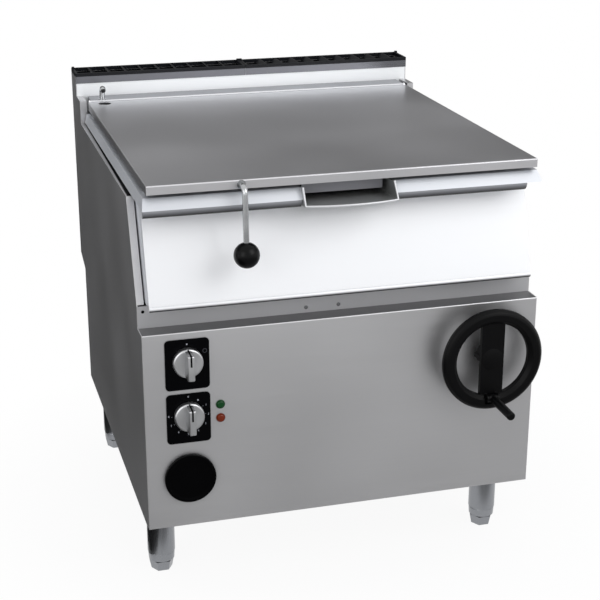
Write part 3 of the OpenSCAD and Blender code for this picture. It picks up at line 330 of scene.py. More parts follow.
def slab(front, back, foot, top, half):
    """Upright sheet across X, half its width to each side of the middle."""
    return prism([(front, foot), (back, foot), (back, top), (front, top)], -half, half)


def bend(y, z, radius, start, step, count):
    """Section points (y, z) round a centre, in degrees that start at the front and turn up."""
    turns = (math.radians(start + step * i) for i in range(count))
    return [(y - radius * math.cos(a), z + radius * math.sin(a)) for a in turns]


def tube(path, radius, sides=12):
    """Round bar along a path of points, mitred at its corners."""
    shape = bmesh.new()
    points = [Vector(p) for p in path]
    rings = []
    for i, here in enumerate(points):
        before = (here - points[i - 1]).normalized() if i else (points[1] - here).normalized()
        after = (points[i + 1] - here).normalized() if i < len(points) - 1 else before
        along = (before + after).normalized()
        side = along.cross(Vector((0, 1, 0))).normalized()
        up = side.cross(along)
        rings.append([shape.verts.new(here + radius * (side * math.cos(a) + up * math.sin(a)))
                      for a in (2 * math.pi * k / sides for k in range(sides))])
    return skinned(shape, rings)


def rounded_copy(node, radius=0.0, keep=None, finish=None):
    """Copy of a piece's mesh that stands for the CAD node, with the edges that keep() picks rounded. It
    has the node's finish unless it is given its own."""
    shape = bmesh.new()
    shape.from_mesh(NODES[node].data)
    bmesh.ops.remove_doubles(shape, verts=shape.verts, dist=1e-5)
    bmesh.ops.dissolve_limit(shape, angle_limit=math.radians(0.5), verts=shape.verts, edges=shape.edges)
    if keep:
        weight = shape.edges.layers.float.new("bevel_weight_edge")
        for edge in shape.edges:
            if edge.is_manifold and edge.calc_face_angle() > math.radians(20):
                middle = (edge.verts[0].co + edge.verts[1].co) / 2
                if keep(middle, edge):
                    edge[weight] = 1.0
    mesh = bpy.data.meshes.new(node + "_sheet")
    shape.to_mesh(mesh)
    shape.free()
    if "custom_normal" in mesh.attributes:
        mesh.attributes.remove(mesh.attributes["custom_normal"])
    for face in mesh.polygons:
        face.use_smooth = False
    slot = SLOT_OF[node]
    piece = new_piece(node + "_sheet", mesh, BODY_OF[node], finish or bpy.data.materials[slot])
    if keep:
        bevel = piece.modifiers.new("Fold radius", "BEVEL")
        bevel.width = radius
        bevel.segments = 3
        bevel.limit_method = "WEIGHT"
        bevel.use_clamp_overlap = True
    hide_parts(node)
    return piece


def grown(name, tree, values):
    """Plain mesh made by a Geometry Nodes tree with the named values."""
    holder = bpy.data.objects.new(name + "_holder", bpy.data.meshes.new(name + "_empty"))
    bpy.context.scene.collection.objects.link(holder)
    nodes = holder.modifiers.new("Repeat", "NODES")
    nodes.node_group = tree
    for item in tree.interface.items_tree:
        if item.in_out == "INPUT" and item.name in values:
            nodes[item.identifier] = values[item.name]
    bpy.context.view_layer.update()
    made = holder.evaluated_get(bpy.context.evaluated_depsgraph_get())
    mesh = bpy.data.meshes.new_from_object(made)
    mesh.name = name
    holder.modifiers.clear()
    bpy.data.objects.remove(holder)
    if not mesh.polygons:
        raise RuntimeError(name + " came out empty")
    return mesh


def repeat_tree(name, inputs):
    """Geometry Nodes tree with named inputs; returns it, its input node and a function that ends it."""
    tree = bpy.data.node_groups.new(name, "GeometryNodeTree")
    tree.interface.new_socket("Geometry", in_out="OUTPUT", socket_type="NodeSocketGeometry")
    for label, (kind, value) in inputs.items():
        socket = tree.interface.new_socket(label, in_out="INPUT", socket_type="NodeSocket" + kind)
        if value is not None:
            socket.default_value = value
    source = tree.nodes.new("NodeGroupInput")

    def end(instances):
        real = add(tree, "GeometryNodeRealizeInstances", links={0: instances})
        finish = add(tree, "GeometryNodeSetMaterial",
                     links={0: real.outputs[0], "Material": source.outputs["Finish"]})
        out = tree.nodes.new("NodeGroupOutput")
        tree.links.new(finish.outputs[0], out.inputs[0])

    return tree, source, end


def arc_tree():
    """Round marks along an arc that faces the front: Start and Sweep are polar angles, Count the marks."""
    tree, source, end = repeat_tree("Marks on an arc", {
        "Count": ("Int", 8), "Arc Radius": ("Float", 0.036), "Start": ("Float", 0.0), "Sweep": ("Float", 1.0),
        "Mark Radius": ("Float", 0.001), "Mark Depth": ("Float", 0.0002), "Place": ("Vector", None),
        "Finish": ("Material", None)})
    o = source.outputs
    arc = add(tree, "GeometryNodeCurveArc", {"Resolution": 64},
              {"Radius": o["Arc Radius"], "Start Angle": o["Start"], "Sweep Angle": o["Sweep"]})
    points = add(tree, "GeometryNodeCurveToPoints", links={"Curve": arc.outputs[0], "Count": o["Count"]})
    mark = add(tree, "GeometryNodeMeshCylinder", {"Vertices": 20},
               {"Radius": o["Mark Radius"], "Depth": o["Mark Depth"]})
    spots = add(tree, "GeometryNodeInstanceOnPoints",
                links={"Points": points.outputs[0], "Instance": mark.outputs[0]})
    stand = add(tree, "GeometryNodeTransform", {"Rotation": (math.radians(90), 0, 0)},
                {0: spots.outputs[0], "Translation": o["Place"]})
    end(stand.outputs[0])
    return tree


def screw_row_tree():
    """Pan-head screws on a straight row, standing out of a face along Turn."""
    tree, source, end = repeat_tree("Row of screws", {
        "Count": ("Int", 3), "Start": ("Vector", None), "Step": ("Vector", None), "Turn": ("Vector", None),
        "Head Radius": ("Float", 0.0045), "Head Height": ("Float", 0.0022), "Finish": ("Material", None)})
    o = source.outputs
    row = add(tree, "GeometryNodeMeshLine",
              links={"Count": o["Count"], "Start Location": o["Start"], "Offset": o["Step"]})
    # A head narrows to 0.62 of its radius, and its washer is 1.35 times as wide and 0.35 times as high
    crown = add(tree, "ShaderNodeMath", {"operation": "MULTIPLY", 1: 0.62}, {0: o["Head Radius"]})
    head = add(tree, "GeometryNodeMeshCone", {"Vertices": 24},
               {"Radius Top": crown.outputs[0], "Radius Bottom": o["Head Radius"], "Depth": o["Head Height"]})
    washer_r = add(tree, "ShaderNodeMath", {"operation": "MULTIPLY", 1: 1.35}, {0: o["Head Radius"]})
    washer_h = add(tree, "ShaderNodeMath", {"operation": "MULTIPLY", 1: 0.35}, {0: o["Head Height"]})
    washer = add(tree, "GeometryNodeMeshCylinder", {"Vertices": 24},
                 {"Radius": washer_r.outputs[0], "Depth": washer_h.outputs[0]})
    both = add(tree, "GeometryNodeJoinGeometry", links={0: head.outputs[0]})
    tree.links.new(washer.outputs[0], both.inputs[0])
    spots = add(tree, "GeometryNodeInstanceOnPoints",
                links={"Points": row.outputs[0], "Instance": both.outputs[0], "Rotation": o["Turn"]})
    end(spots.outputs[0])
    return tree


# What a user would change


class FinishSettings(bpy.types.PropertyGroup):
    casing: FloatVectorProperty(name="Casing Steel", description="Colour of the brushed casing sheet",
                                subtype="COLOR", size=3, min=0, max=1, default=linear("#D6D6D8"))
    apron: FloatVectorProperty(name="Apron Steel", description="Colour of the bright apron",
                               subtype="COLOR", size=3, min=0, max=1, default=linear("#F3F4F6"))
    rim: FloatVectorProperty(name="Rim Steel", description="Colour of the rim round the pan",
                             subtype="COLOR", size=3, min=0, max=1, default=linear("#DEE1E6"))
    lid: FloatVectorProperty(name="Lid Steel", description="Colour of the lid sheet",
                             subtype="COLOR", size=3, min=0, max=1, default=linear("#DDDDE0"))
    black: FloatVectorProperty(name="Black Plastic", description="Colour of the handwheel and its cap",
                               subtype="COLOR", size=3, min=0, max=1, default=linear("#050506"))
    gloss: FloatProperty(name="Sheet Roughness", description="Roughness of the brushed sheet",
                         subtype="FACTOR", min=0.1, max=0.8, default=0.44)


class FoldSettings(bpy.types.PropertyGroup):
    sheet: FloatProperty(name="Sheet Folds", description="Outer radius of the casing's folds",
                         unit="LENGTH", min=0.0005, max=0.004, default=0.0018)
    lid: FloatProperty(name="Lid Folds", description="Outer radius of the lid's folds",
                       unit="LENGTH", min=0.0005, max=0.004, default=0.0022)


class DialSettings(bpy.types.PropertyGroup):
    mark_radius: FloatProperty(name="Mark Radius", description="Radius of the printed dots",
                               unit="LENGTH", min=0.0005, max=0.003, default=0.0008)
    scale_radius: FloatProperty(name="Scale Radius", description="Distance of the marks from the knob's axis",
                                unit="LENGTH", min=0.034, max=0.044, default=0.0395)
    numeral: FloatProperty(name="Numeral Height", description="Height of the numerals on the lower plate",
                           unit="LENGTH", min=0.002, max=0.007, default=0.0042)


class KnobSettings(bpy.types.PropertyGroup):
    disc: FloatProperty(name="Disc Height", description="Height of a knob's disc above the front panel",
                        unit="LENGTH", min=0.012, max=0.022, default=0.0165)
    height: FloatProperty(name="Grip Height", description="Height of the wing grip above the front panel",
                          unit="LENGTH", min=0.025, max=0.05, default=0.0455)
    grip: FloatProperty(name="Grip Width", description="Width of the wing grip at its back",
                        unit="LENGTH", min=0.01, max=0.02, default=0.0155)
    pointer: FloatProperty(name="Pointer Width", description="Width of the black pointer line on a knob",
                           unit="LENGTH", min=0.001, max=0.004, default=0.0036)


class WheelSettings(bpy.types.PropertyGroup):
    rim: FloatProperty(name="Rim Radius", description="Outer radius of the handwheel's rim",
                       unit="LENGTH", min=0.1, max=0.115, default=0.1115)
    spoke: FloatProperty(name="Spoke Width", description="Width of the handwheel's flat spoke",
                         unit="LENGTH", min=0.046, max=0.054, default=0.051)
    crank: FloatProperty(name="Crank Fullness", description="Thickness of the crank handle's grip as a share",
                         subtype="FACTOR", min=1, max=1.12, default=1.12)
    cap: FloatProperty(name="Cap Radius", description="Radius of the round cap over the shaft",
                       unit="LENGTH", min=0.015, max=0.025, default=0.0238)


class ScrewSettings(bpy.types.PropertyGroup):
    head: FloatProperty(name="Screw Head", description="Radius of the screw heads at the back",
                        unit="LENGTH", min=0.002, max=0.008, default=0.0045)
    count: IntProperty(name="Screws a Row", description="Screws in each upright row of the flue's back",
                       min=2, max=8, default=4)


class StudioSettings(bpy.types.PropertyGroup):
    key: FloatProperty(name="Key Light", description="Power of the large lamp at the front right",
                       unit="POWER", min=0, max=400, default=46)
    fill: FloatProperty(name="Fill Light", description="Power of the lamp at the front left",
                        unit="POWER", min=0, max=400, default=22)
    flue: FloatProperty(name="Flue Light", description="Power of both small lamps over the lid together",
                        unit="POWER", min=0, max=20, default=1.0)
    sky: FloatProperty(name="Sky Light", description="Strength of the light from all round",
                       min=0, max=2, default=0.55)
    side_card: FloatProperty(name="Side Cards", description="Brightness of the dark cards on the left",
                             subtype="FACTOR", min=0, max=1, default=0.02)
    front_card: FloatProperty(name="Front Card", description="Brightness of the grey card on the floor",
                              subtype="FACTOR", min=0, max=1, default=0.415)
    back_card: FloatProperty(name="Back Card", description="Brightness of the grey card behind",
                             subtype="FACTOR", min=0, max=1, default=0.2)


SETTINGS = {
    "bratt_finish": FinishSettings,
    "bratt_folds": FoldSettings,
    "bratt_dials": DialSettings,
    "bratt_knobs": KnobSettings,
    "bratt_wheel": WheelSettings,
    "bratt_screws": ScrewSettings,
    "bratt_studio": StudioSettings,
}


# Operators


class BRATT_OT_finishes(bpy.types.Operator):
    """Give every node of the frame the finish of its record slot"""

    bl_idname = "bratt.finishes"
    bl_label = "Finishes"

    def execute(self, context):
        s = context.scene.bratt_finish
        casing, apron, rim, lid, black = (tuple(c) for c in (s.casing, s.apron, s.rim, s.lid, s.black))
        made = [
            # Satin grey sheet, near-white splash sheet and apron, pale rim, and a lid with hardly a streak
            # The seam values set how deep the painted shade in seams and folds goes
            brushed_steel("casing_steel", casing, s.gloss, "x", seam_shade=0.35),
            brushed_steel("splash_steel", linear("#FAFCFD"), s.gloss + 0.1, "x", metallic=0.15, cloud=0.02),
            brushed_steel("apron_steel", apron, s.gloss + 0.1, "x", metallic=0.45, cloud=0.03, seam_shade=0.75),
            brushed_steel("rim_steel", rim, s.gloss, "x", metallic=0.55),
            brushed_steel("lid_steel", lid, s.gloss - 0.1, "y", seam_shade=0.2, **FINE),
            brushed_steel("tank_steel", linear("#A8A9AB"), 0.3, "z"),
            # Dull frame and machine parts, and bright screws
            turned_metal("frame_steel", linear("#83858A"), 0.42),
            brushed_steel("leg_steel", linear("#8E9094"), 0.3, "z", line=1.2),
            turned_metal("shaft_steel", linear("#B9BBBD"), 0.18),
            turned_metal("gear_steel", linear("#8C8D8F"), 0.35),
            turned_metal("screw_steel", linear("#A4A6A8"), 0.25),
            # Enamel on cast iron and hammered paint: the same skin as plastic, with coarser waves
            moulded_plastic("grille_enamel", linear("#0C0E13"), 0.35, speck=2.5, height=0.06, specular=0.25),
            moulded_plastic("gearbox_paint", linear("#5C6366"), 0.45, speck=3.0, height=0.15),
            # Brown oxide on the heating elements
            turned_metal("element_sheath", linear("#4A423B"), 0.5),
            # Deep blacks that mirror next to nothing, and plated zinc for the knobs
            moulded_plastic("plate_black", linear("#030305"), 0.3, height=0.01, specular=0.05),
            turned_metal("knob_metal", linear("#D2D3D5"), 0.36),
            moulded_plastic("wheel_black", black, 0.42, speck=1.4, specular=0.12),
            moulded_plastic("ball_black", linear("#050506"), 0.3, height=0.01, specular=0.14),
            moulded_plastic("tap_black", linear("#020203"), 0.4, specular=0.04),
            lamp_lens("lamp_green", linear("#08461C")),
            lamp_lens("lamp_amber", linear("#7A2808")),
            moulded_plastic("box_plastic", linear("#C6C6C0"), 0.45),
            moulded_plastic("gland_black", linear("#1B1C1E"), 0.4),
            turned_metal("valve_brass", linear("#B08D4A"), 0.3),
            turned_metal("pipe_copper", linear("#B77B4A"), 0.32),
            mineral_wool("wool", linear("#D2C08F")),
        ]
        missing = set(SLOT_OF.values()) - {material.name for material in made}
        if missing:
            raise RuntimeError("no finish for " + ", ".join(sorted(missing)))
        return {"FINISHED"}


class BRATT_OT_folded_sheets(bpy.types.Operator):
    """Round the visible folds of the sheets, and add the trims and beads that lie along them"""

    bl_idname = "bratt.folded_sheets"
    bl_label = "Folded Sheets"

    def execute(self, context):
        s = context.scene.bratt_folds
        low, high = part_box("lid_skin")

        def lid_fold(p, edge):
            upright = abs(edge.verts[0].co.z - edge.verts[1].co.z) > 5 * MM
            outside = p.x < low.x + MM or p.x > high.x - MM or p.y < low.y + MM
            return outside and (p.z > LID_TOP - MM or upright)

        rounded_copy("lid_skin", s.lid, lid_fold)
        low_f, high_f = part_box("front_panel")

        def front_fold(p, edge):
            border = p.z > high_f.z - MM or abs(p.x) > high_f.x - MM or p.z < low_f.z + MM
            return p.y < FRONT_Y + 0.5 * MM and border

        rounded_copy("front_panel", s.sheet, front_fold)
        low_r, high_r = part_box("tank_rim")
        # The rim's top folds end where the hinge housing's shelf begins
        shelf, return_foot = 0.3, 0.857

        def rim_fold(p, edge):
            return p.z > high_r.z - MM and p.y < shelf or p.z < return_foot and p.y < low_r.y + MM

        rounded_copy("tank_rim", s.sheet, rim_fold)
        # Painted shade darkens the ledge at the strip's foot
        strip = brushed_steel("strip_steel", linear("#C6C6C8"), 0.5, "x", metallic=0.5,
                              slope_shade=(0.5, 0.9, 1.0, 0.34), **FINE)
        rounded_copy("recess_strip", finish=strip)
        # A darker grey than the casing's steel: painted shade on the flue trim
        trim = brushed_steel("trim_steel", linear("#7C7D82"), 0.3, "x", **FINE)
        trimmed = rounded_copy("flue_trim", finish=trim)
        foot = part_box("flue_trim")[0].z
        for vert in trimmed.data.vertices:
            if vert.co.z < foot + MM:
                vert.co.z -= 2.5 * MM
        self.side_seals()
        self.duct_soot()
        low_h, high_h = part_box("hinge_housing")
        # A darker grey than the steel of the other sheets: painted shade on the hinge housing
        cover = brushed_steel("housing_steel", linear("#94959A"), 0.34, "x", **FINE)
        rounded_copy("hinge_housing", s.sheet, lambda p, edge: p.y < low_h.y + 4 * MM or p.z > high_h.z - MM,
                     finish=cover)
        mouth = brushed_steel("spout_steel", linear("#B8BAB9"), 0.4, "y", metallic=0.8)
        rounded_copy("pouring_spout", finish=mouth)
        self.housing_nose()
        self.rim_hem(low_r.y)
        self.apron_fold()
        self.spout_bead()
        self.lid_flap()
        return {"FINISHED"}

    def side_seals(self):
        """Black strip on each side panel's top flange, which tapers towards the back: painted shade that
        stands for the dark gap between the flange and the pan.
        """
        gap_black = bpy.data.materials["tap_black"]
        inner, wide, narrow = 0.4125, 9 * MM, 2 * MM
        front, rear = FRONT_Y + 0.128, FRONT_Y + 0.784
        flange, top = 0.8495, 0.851
        for name, side in (("side_gap_shade_left", -1), ("side_gap_shade_right", 1)):
            gap_strip = bmesh.new()
            box = bmesh.ops.create_cube(gap_strip, size=1.0)
            for vert in box["verts"]:
                outer, back, up = (c > 0 for c in vert.co)
                reach = inner + ((narrow if back else wide) if outer else 0)
                vert.co = (side * reach, rear if back else front, top if up else flange)
            new_piece(name, from_bmesh(name, gap_strip), "root", gap_black)

    def duct_soot(self):
        """Dull black sheet on the duct's rear wall behind the grilles: painted shade inside the duct. To the
        eye: a dull black.
        """
        shade_black = moulded_plastic("duct_soot", linear("#101114"), 0.8, specular=0.1)
        painted_shade = slab(front=0.5415, back=0.5425, foot=0.86, top=0.952, half=0.42)
        new_piece("duct_soot", from_bmesh("duct_soot", painted_shade), "root", shade_black)

    def housing_nose(self):
        """Rounded nose of the hinge housing, in a paler steel than the housing: a painted highlight that
        draws a pale line behind the lid.
        """
        low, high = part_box("hinge_housing")
        radius, proud, depth, inset = 3 * MM, 0.2 * MM, 0.5 * MM, 0.5 * MM
        y, z = low.y + radius, high.z - radius
        outer = bend(y, z, radius + proud, 0, 10, 10)
        inner = bend(y, z, radius - depth, 90, -10, 10)
        # Paler than the housing's steel: a painted highlight along the nose
        bright = brushed_steel("nose_steel", linear("#DCDDE0"), 0.5, "x", metallic=0.3)
        mesh = from_bmesh("housing_nose", prism([*outer, *inner], low.x + inset, high.x - inset), 30)
        new_piece("housing_nose", mesh, BODY_OF["hinge_housing"], bright)

    def rim_hem(self, front):
        """Round return under the rim's front edge, on both sides of the spout: a grey piece darker than the
        rim, with painted shade that darkens it underneath, which paints the shade under the rim.
        """
        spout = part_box("pouring_spout")[1].x + MM
        left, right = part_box("tank_rim")[0].x + 2 * MM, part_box("apron")[1].x - 25 * MM
        radius, top = 18 * MM, 0.855
        y = front + MM + radius
        grey = brushed_steel("hem_steel", linear("#A9ABB0"), 0.45, "x", metallic=0.3,
                             slope_shade=(-0.75, -0.05, 0.02, 1.0))
        for name, x0, x1 in (("rim_hem_left", left, -spout), ("rim_hem_right", spout, right)):
            hem = prism([*bend(y, top, radius, 0, -9, 11), (y, top)], x0, x1)
            new_piece(name, from_bmesh(name, hem, 30), "pan", grey)

    def apron_fold(self):
        """Round fold along the apron's foot, with painted shade that darkens it underneath."""
        low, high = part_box("apron")
        fold = brushed_steel("fold_steel", linear("#F3F4F6"), 0.5, "x", metallic=0.45,
                             slope_shade=(-0.5, 0.2, 0.03, 1.0))
        inset = 0.3 * MM
        arc = bend(FRONT_Y + 5.2 * MM, 0.6498, 6 * MM, 60, -10, 14)
        shape = prism([*arc, (FRONT_Y + 3.1 * MM, 0.655)], low.x + inset, high.x - inset)
        new_piece("apron_fold", from_bmesh("apron_fold", shape, 30), "pan", fold)

    def spout_bead(self):
        """Bead round the mouth of the pouring spout: down one cheek, along the bowed lip and up the other."""
        low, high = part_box("pouring_spout")
        half, bow, drop, lip_z = high.x * 0.985, 14.8 * MM, 0.5 * MM, 0.8465
        lip = [(x * half, low.y + bow * x * x + 0.6 * MM, lip_z - drop * abs(x))
               for x in (k / 8 for k in range(-8, 9))]
        cheek = (FRONT_Y - 6.4 * MM, high.z - MM)
        bright = brushed_steel("bead_steel", linear("#DFE0E2"), 0.4, "x", metallic=0.4)
        bead = tube([(-half, *cheek), *lip, (half, *cheek)], 2.3 * MM)
        new_piece("spout_bead", from_bmesh("spout_bead", bead, 40), "pan", bright)

    def lid_flap(self):
        """Flap under the lid that closes the pouring channel."""
        front = FRONT_Y + 40 * MM
        flap = slab(front, front + 1.5 * MM, foot=0.8535, top=0.8855, half=0.0855)
        pale = brushed_steel("flap_steel", linear("#9A9AA0"), 0.5, "x", metallic=0.1)
        new_piece("lid_flap", from_bmesh("lid_flap", flap), BODY_OF["lid_skin"], pale)


class BRATT_OT_dials(bpy.types.Operator):
    """Print the marks and numerals on the two dial plates"""

    bl_idname = "bratt.dials"
    bl_label = "Dial Marks"

    def execute(self, context):
        s = context.scene.bratt_dials
        white = moulded_plastic("dial_print", linear("#B9BCC4"), 0.5, height=0.002)
        depth = 0.3 * MM
        x, z = KNOBS["thermostat_knob"]
        # The dots run clockwise from 60 degrees right of the top to 90 degrees left of it
        marks = grown("thermostat_marks", arc_tree(), {
            "Count": 8, "Arc Radius": s.scale_radius - 4.5 * MM,
            "Start": math.radians(30), "Sweep": math.radians(-210),
            "Mark Radius": s.mark_radius * 0.7, "Mark Depth": depth,
            "Place": (x, PLATE_Y, z), "Finish": white})
        new_piece("thermostat_marks", marks, "root", white)
        off = s.scale_radius * 0.95
        for name, knob, angle, radius in (
            ("selector_off_mark", "selector_knob", 0, s.mark_radius * 1.9),
            ("thermostat_off_mark", "thermostat_knob", 32, s.mark_radius * 2.0),
        ):
            dot = [(0, 0), (radius, 0), (radius, depth), (0, depth)]
            self.stamp(name, lathe(dot, 24), self.on_dial(knob, angle, off), white)
        # The selector's second position: a plain ring
        dim = moulded_plastic("dial_print_dim", linear("#3C3D44"), 0.5, height=0.002)
        inner, outer = 3.6 * MM, 4.6 * MM
        ring = [(inner, 0), (outer, 0), (outer, depth), (inner, depth), (inner, 0)]
        self.stamp("selector_ring_mark", lathe(ring, 32), self.on_dial("selector_knob", 61, 41.5 * MM), dim)
        self.numerals(s, white, depth)
        return {"FINISHED"}

    def on_dial(self, knob, angle, reach, lift=0.0):
        """Place on a knob's plate, by degrees clockwise from the top and the distance from its axis."""
        x, z = KNOBS[knob]
        a = math.radians(angle)
        return x + reach * math.sin(a), PLATE_Y - lift, z + reach * math.cos(a)

    def stamp(self, name, shape, place, finish):
        """Flat printed mark that faces the front."""
        bmesh.ops.transform(shape, matrix=forwards(*place), verts=shape.verts)
        new_piece(name, from_bmesh(name, shape), "root", finish)

    def numerals(self, s, finish, depth):
        """Numerals round the thermostat's knob: 0 at the top, then 1 to 8 in steps of 30 degrees."""
        for k in range(9):
            text = bpy.data.curves.new("numeral", "FONT")
            text.body = str(k)
            text.size = s.numeral * 1.4
            text.align_x = "CENTER"
            text.align_y = "CENTER"
            text.extrude = depth / 2
            holder = bpy.data.objects.new("numeral", text)
            bpy.context.scene.collection.objects.link(holder)
            bpy.context.view_layer.update()
            made = holder.evaluated_get(bpy.context.evaluated_depsgraph_get())
            mesh = bpy.data.meshes.new_from_object(made)
            bpy.data.objects.remove(holder)
            angle = 32 + 30 * k if k else 0
            place = self.on_dial("thermostat_knob", angle, s.scale_radius * 1.04, depth / 2)
            mesh.transform(forwards(*place))
            new_piece(f"thermostat_numeral_{k}", mesh, "root", finish)


class BRATT_OT_knobs(bpy.types.Operator):
    """Form the two control knobs with their wing grips and black pointer lines"""

    bl_idname = "bratt.knobs"
    bl_label = "Control Knobs"

    def execute(self, context):
        s = context.scene.bratt_knobs
        black = moulded_plastic("pointer_black", linear("#08080A"), 0.4, specular=0.1)
        metal = bpy.data.materials["knob_metal"]
        for node, (x, z) in KNOBS.items():
            low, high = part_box(node)
            radius = (high - low).x / 2
            knob = self.disc(radius, s.disc)
            self.wing(knob, radius, s)
            bmesh.ops.transform(knob, matrix=forwards(x, FRONT_Y, z), verts=knob.verts)
            form = from_bmesh(node + "_form", knob, 32)
            piece = new_piece(node + "_form", form, BODY_OF[node], metal)
            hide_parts(node)
            line = ribbon(self.pointer_path(radius, s), s.pointer, MM)
            bmesh.ops.transform(line, matrix=Matrix.Translation((x, FRONT_Y, z)), verts=line.verts)
            name = node + "_pointer"
            new_piece(name, from_bmesh(name, line), BODY_OF[node], black)
        return {"FINISHED"}

    def pointer_path(self, radius, s):
        """Line from the disc's edge, up the wing's end and along its back to just above the middle."""
        end = radius - WING_INSET
        return [(-s.disc + 4.2 * MM, radius - 0.3 * MM), (-s.disc + 1.2 * MM, radius - 1.6 * MM),
                (-s.disc, end - 0.2 * MM), (-s.height + 2.9 * MM, end - 1.5 * MM),
                (-s.height + 0.8 * MM, end - 2.4 * MM), (-s.height, end - 4.6 * MM), (-s.height, 4.5 * MM)]

    def disc(self, radius, height):
        """Turned disc with a rounded shoulder and a slightly crowned face."""
        shoulder, back, crown = 4 * MM, 3 * MM, 0.6 * MM
        arc = [(radius - shoulder + shoulder * math.cos(a), height - shoulder + shoulder * math.sin(a))
               for a in (math.radians(15 * i) for i in range(7))]
        return lathe([(0, back), (radius, back), *arc, (radius - 7 * MM, height), (0, height + crown)], 96)

    def wing(self, shape, radius, s):
        """Upright grip across the disc, drawn in towards its back, with rounded edges."""
        made = bmesh.ops.create_cube(shape, size=1.0)
        root = s.disc - 4 * MM
        for vert in made["verts"]:
            out = vert.co.z > 0
            half = s.grip / 2 - (0.6 * MM if out else 0)
            end = radius - (4.2 * MM if out else WING_INSET)
            height = s.height if out else root
            vert.co = (math.copysign(half, vert.co.x), math.copysign(end, vert.co.y), height)
        edges = {e for v in made["verts"] for e in v.link_edges if max(w.co.z for w in e.verts) > root + 1e-5}
        bmesh.ops.bevel(shape, geom=list(edges), offset=2.8 * MM, segments=5, profile=0.5, affect="EDGES")


class BRATT_OT_handwheel(bpy.types.Operator):
    """Round the handwheel's edges, fill out its rim and add the round cap over its shaft"""

    bl_idname = "bratt.handwheel"
    bl_label = "Handwheel"

    def execute(self, context):
        s = context.scene.bratt_wheel
        x, z = WHEEL_AXIS
        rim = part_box("handwheel")[1].z - z
        # The rim starts 20 mm in from the edge, and its outer 14 mm swell to the full radius
        web, swell = rim - 20 * MM, rim - 14 * MM

        def rim_edge(p, edge):
            sharp = edge.calc_length() < 60 * MM and edge.calc_face_angle() > math.radians(25)
            return sharp and math.hypot(p.x - x, p.z - z) > rim - 34 * MM

        wheel = rounded_copy("handwheel", 1.4 * MM, rim_edge)
        half = s.spoke / 2
        for vert in wheel.data.vertices:
            out = Vector((vert.co.x - x, vert.co.z - z))
            if half - 4 * MM < abs(out.x) < half and out.length < web:
                vert.co.x = x + math.copysign(half, out.x)
            if out.length > swell:
                out *= 1 + (s.rim - rim) * (out.length - swell) / (rim - swell) / out.length
                vert.co.x, vert.co.z = x + out.x, z + out.y
        crank = rounded_copy("crank_handle")
        low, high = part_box("crank_handle")
        middle = (low + high) / 2
        grip = FRONT_Y - 80 * MM
        for vert in crank.data.vertices:
            if vert.co.y < grip:
                vert.co.x = middle.x + (vert.co.x - middle.x) * s.crank
                vert.co.z = middle.z + (vert.co.z - middle.z) * s.crank
        edge = 0.2 * MM
        dome = [(0, -edge), (s.cap, -edge), (s.cap, edge), (s.cap - 0.8 * MM, 0.6 * MM), (0, 0.7 * MM)]
        cap = lathe(dome, 96)
        bmesh.ops.transform(cap, matrix=forwards(x, FRONT_Y - 50 * MM, z), verts=cap.verts)
        mesh = from_bmesh("handwheel_cap", cap, 30)
        black = bpy.data.materials["wheel_black"]
        new_piece("handwheel_cap", mesh, BODY_OF["handwheel"], black)
        return {"FINISHED"}


class BRATT_OT_strip_plug(bpy.types.Operator):
    """Fit the dark plug in the hole at the strip's left end"""

    bl_idname = "bratt.strip_plug"
    bl_label = "Strip Plug"

    def execute(self, context):
        x, z, strip_face = -0.413, 0.632, FRONT_Y + 44 * MM
        radius, foot = 3.4 * MM, -6 * MM
        head = [(radius, -0.6 * MM), (2.9 * MM, -0.2 * MM), (0, -0.1 * MM)]
        plug = lathe([(0, foot), (radius, foot), *head], 40)
        bmesh.ops.transform(plug, matrix=forwards(x, strip_face, z), verts=plug.verts)
        mesh = from_bmesh("strip_plug", plug, 30)
        new_piece("strip_plug", mesh, "root", bpy.data.materials["tap_black"])
        return {"FINISHED"}


class BRATT_OT_rear_screws(bpy.types.Operator):
    """Screw the rear panel down along its upright edges"""

    bl_idname = "bratt.rear_screws"
    bl_label = "Rear Screws"

    def execute(self, context):
        s = context.scene.bratt_screws
        tree = screw_row_tree()
        steel = bpy.data.materials["screw_steel"]
        # Each row's face, lowest and highest screw, and number of screws
        rows = {
            "flue_back": (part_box("rear_panel")[1].y, 0.525, 0.905, s.count),
            "lower_back": (0.472, 0.19, 0.45, 3),
        }
        for name, (y, z0, z1, count) in rows.items():
            for side, x in (("left", -0.406), ("right", 0.406)):
                mesh = grown(f"{name}_screws_{side}", tree, {
                    "Count": count, "Start": (x, y, z0), "Step": (0, 0, (z1 - z0) / (count - 1)),
                    "Turn": (math.radians(-90), 0, 0), "Head Radius": s.head, "Finish": steel})
                new_piece(mesh.name, mesh, "root", steel)
        return {"FINISHED"}


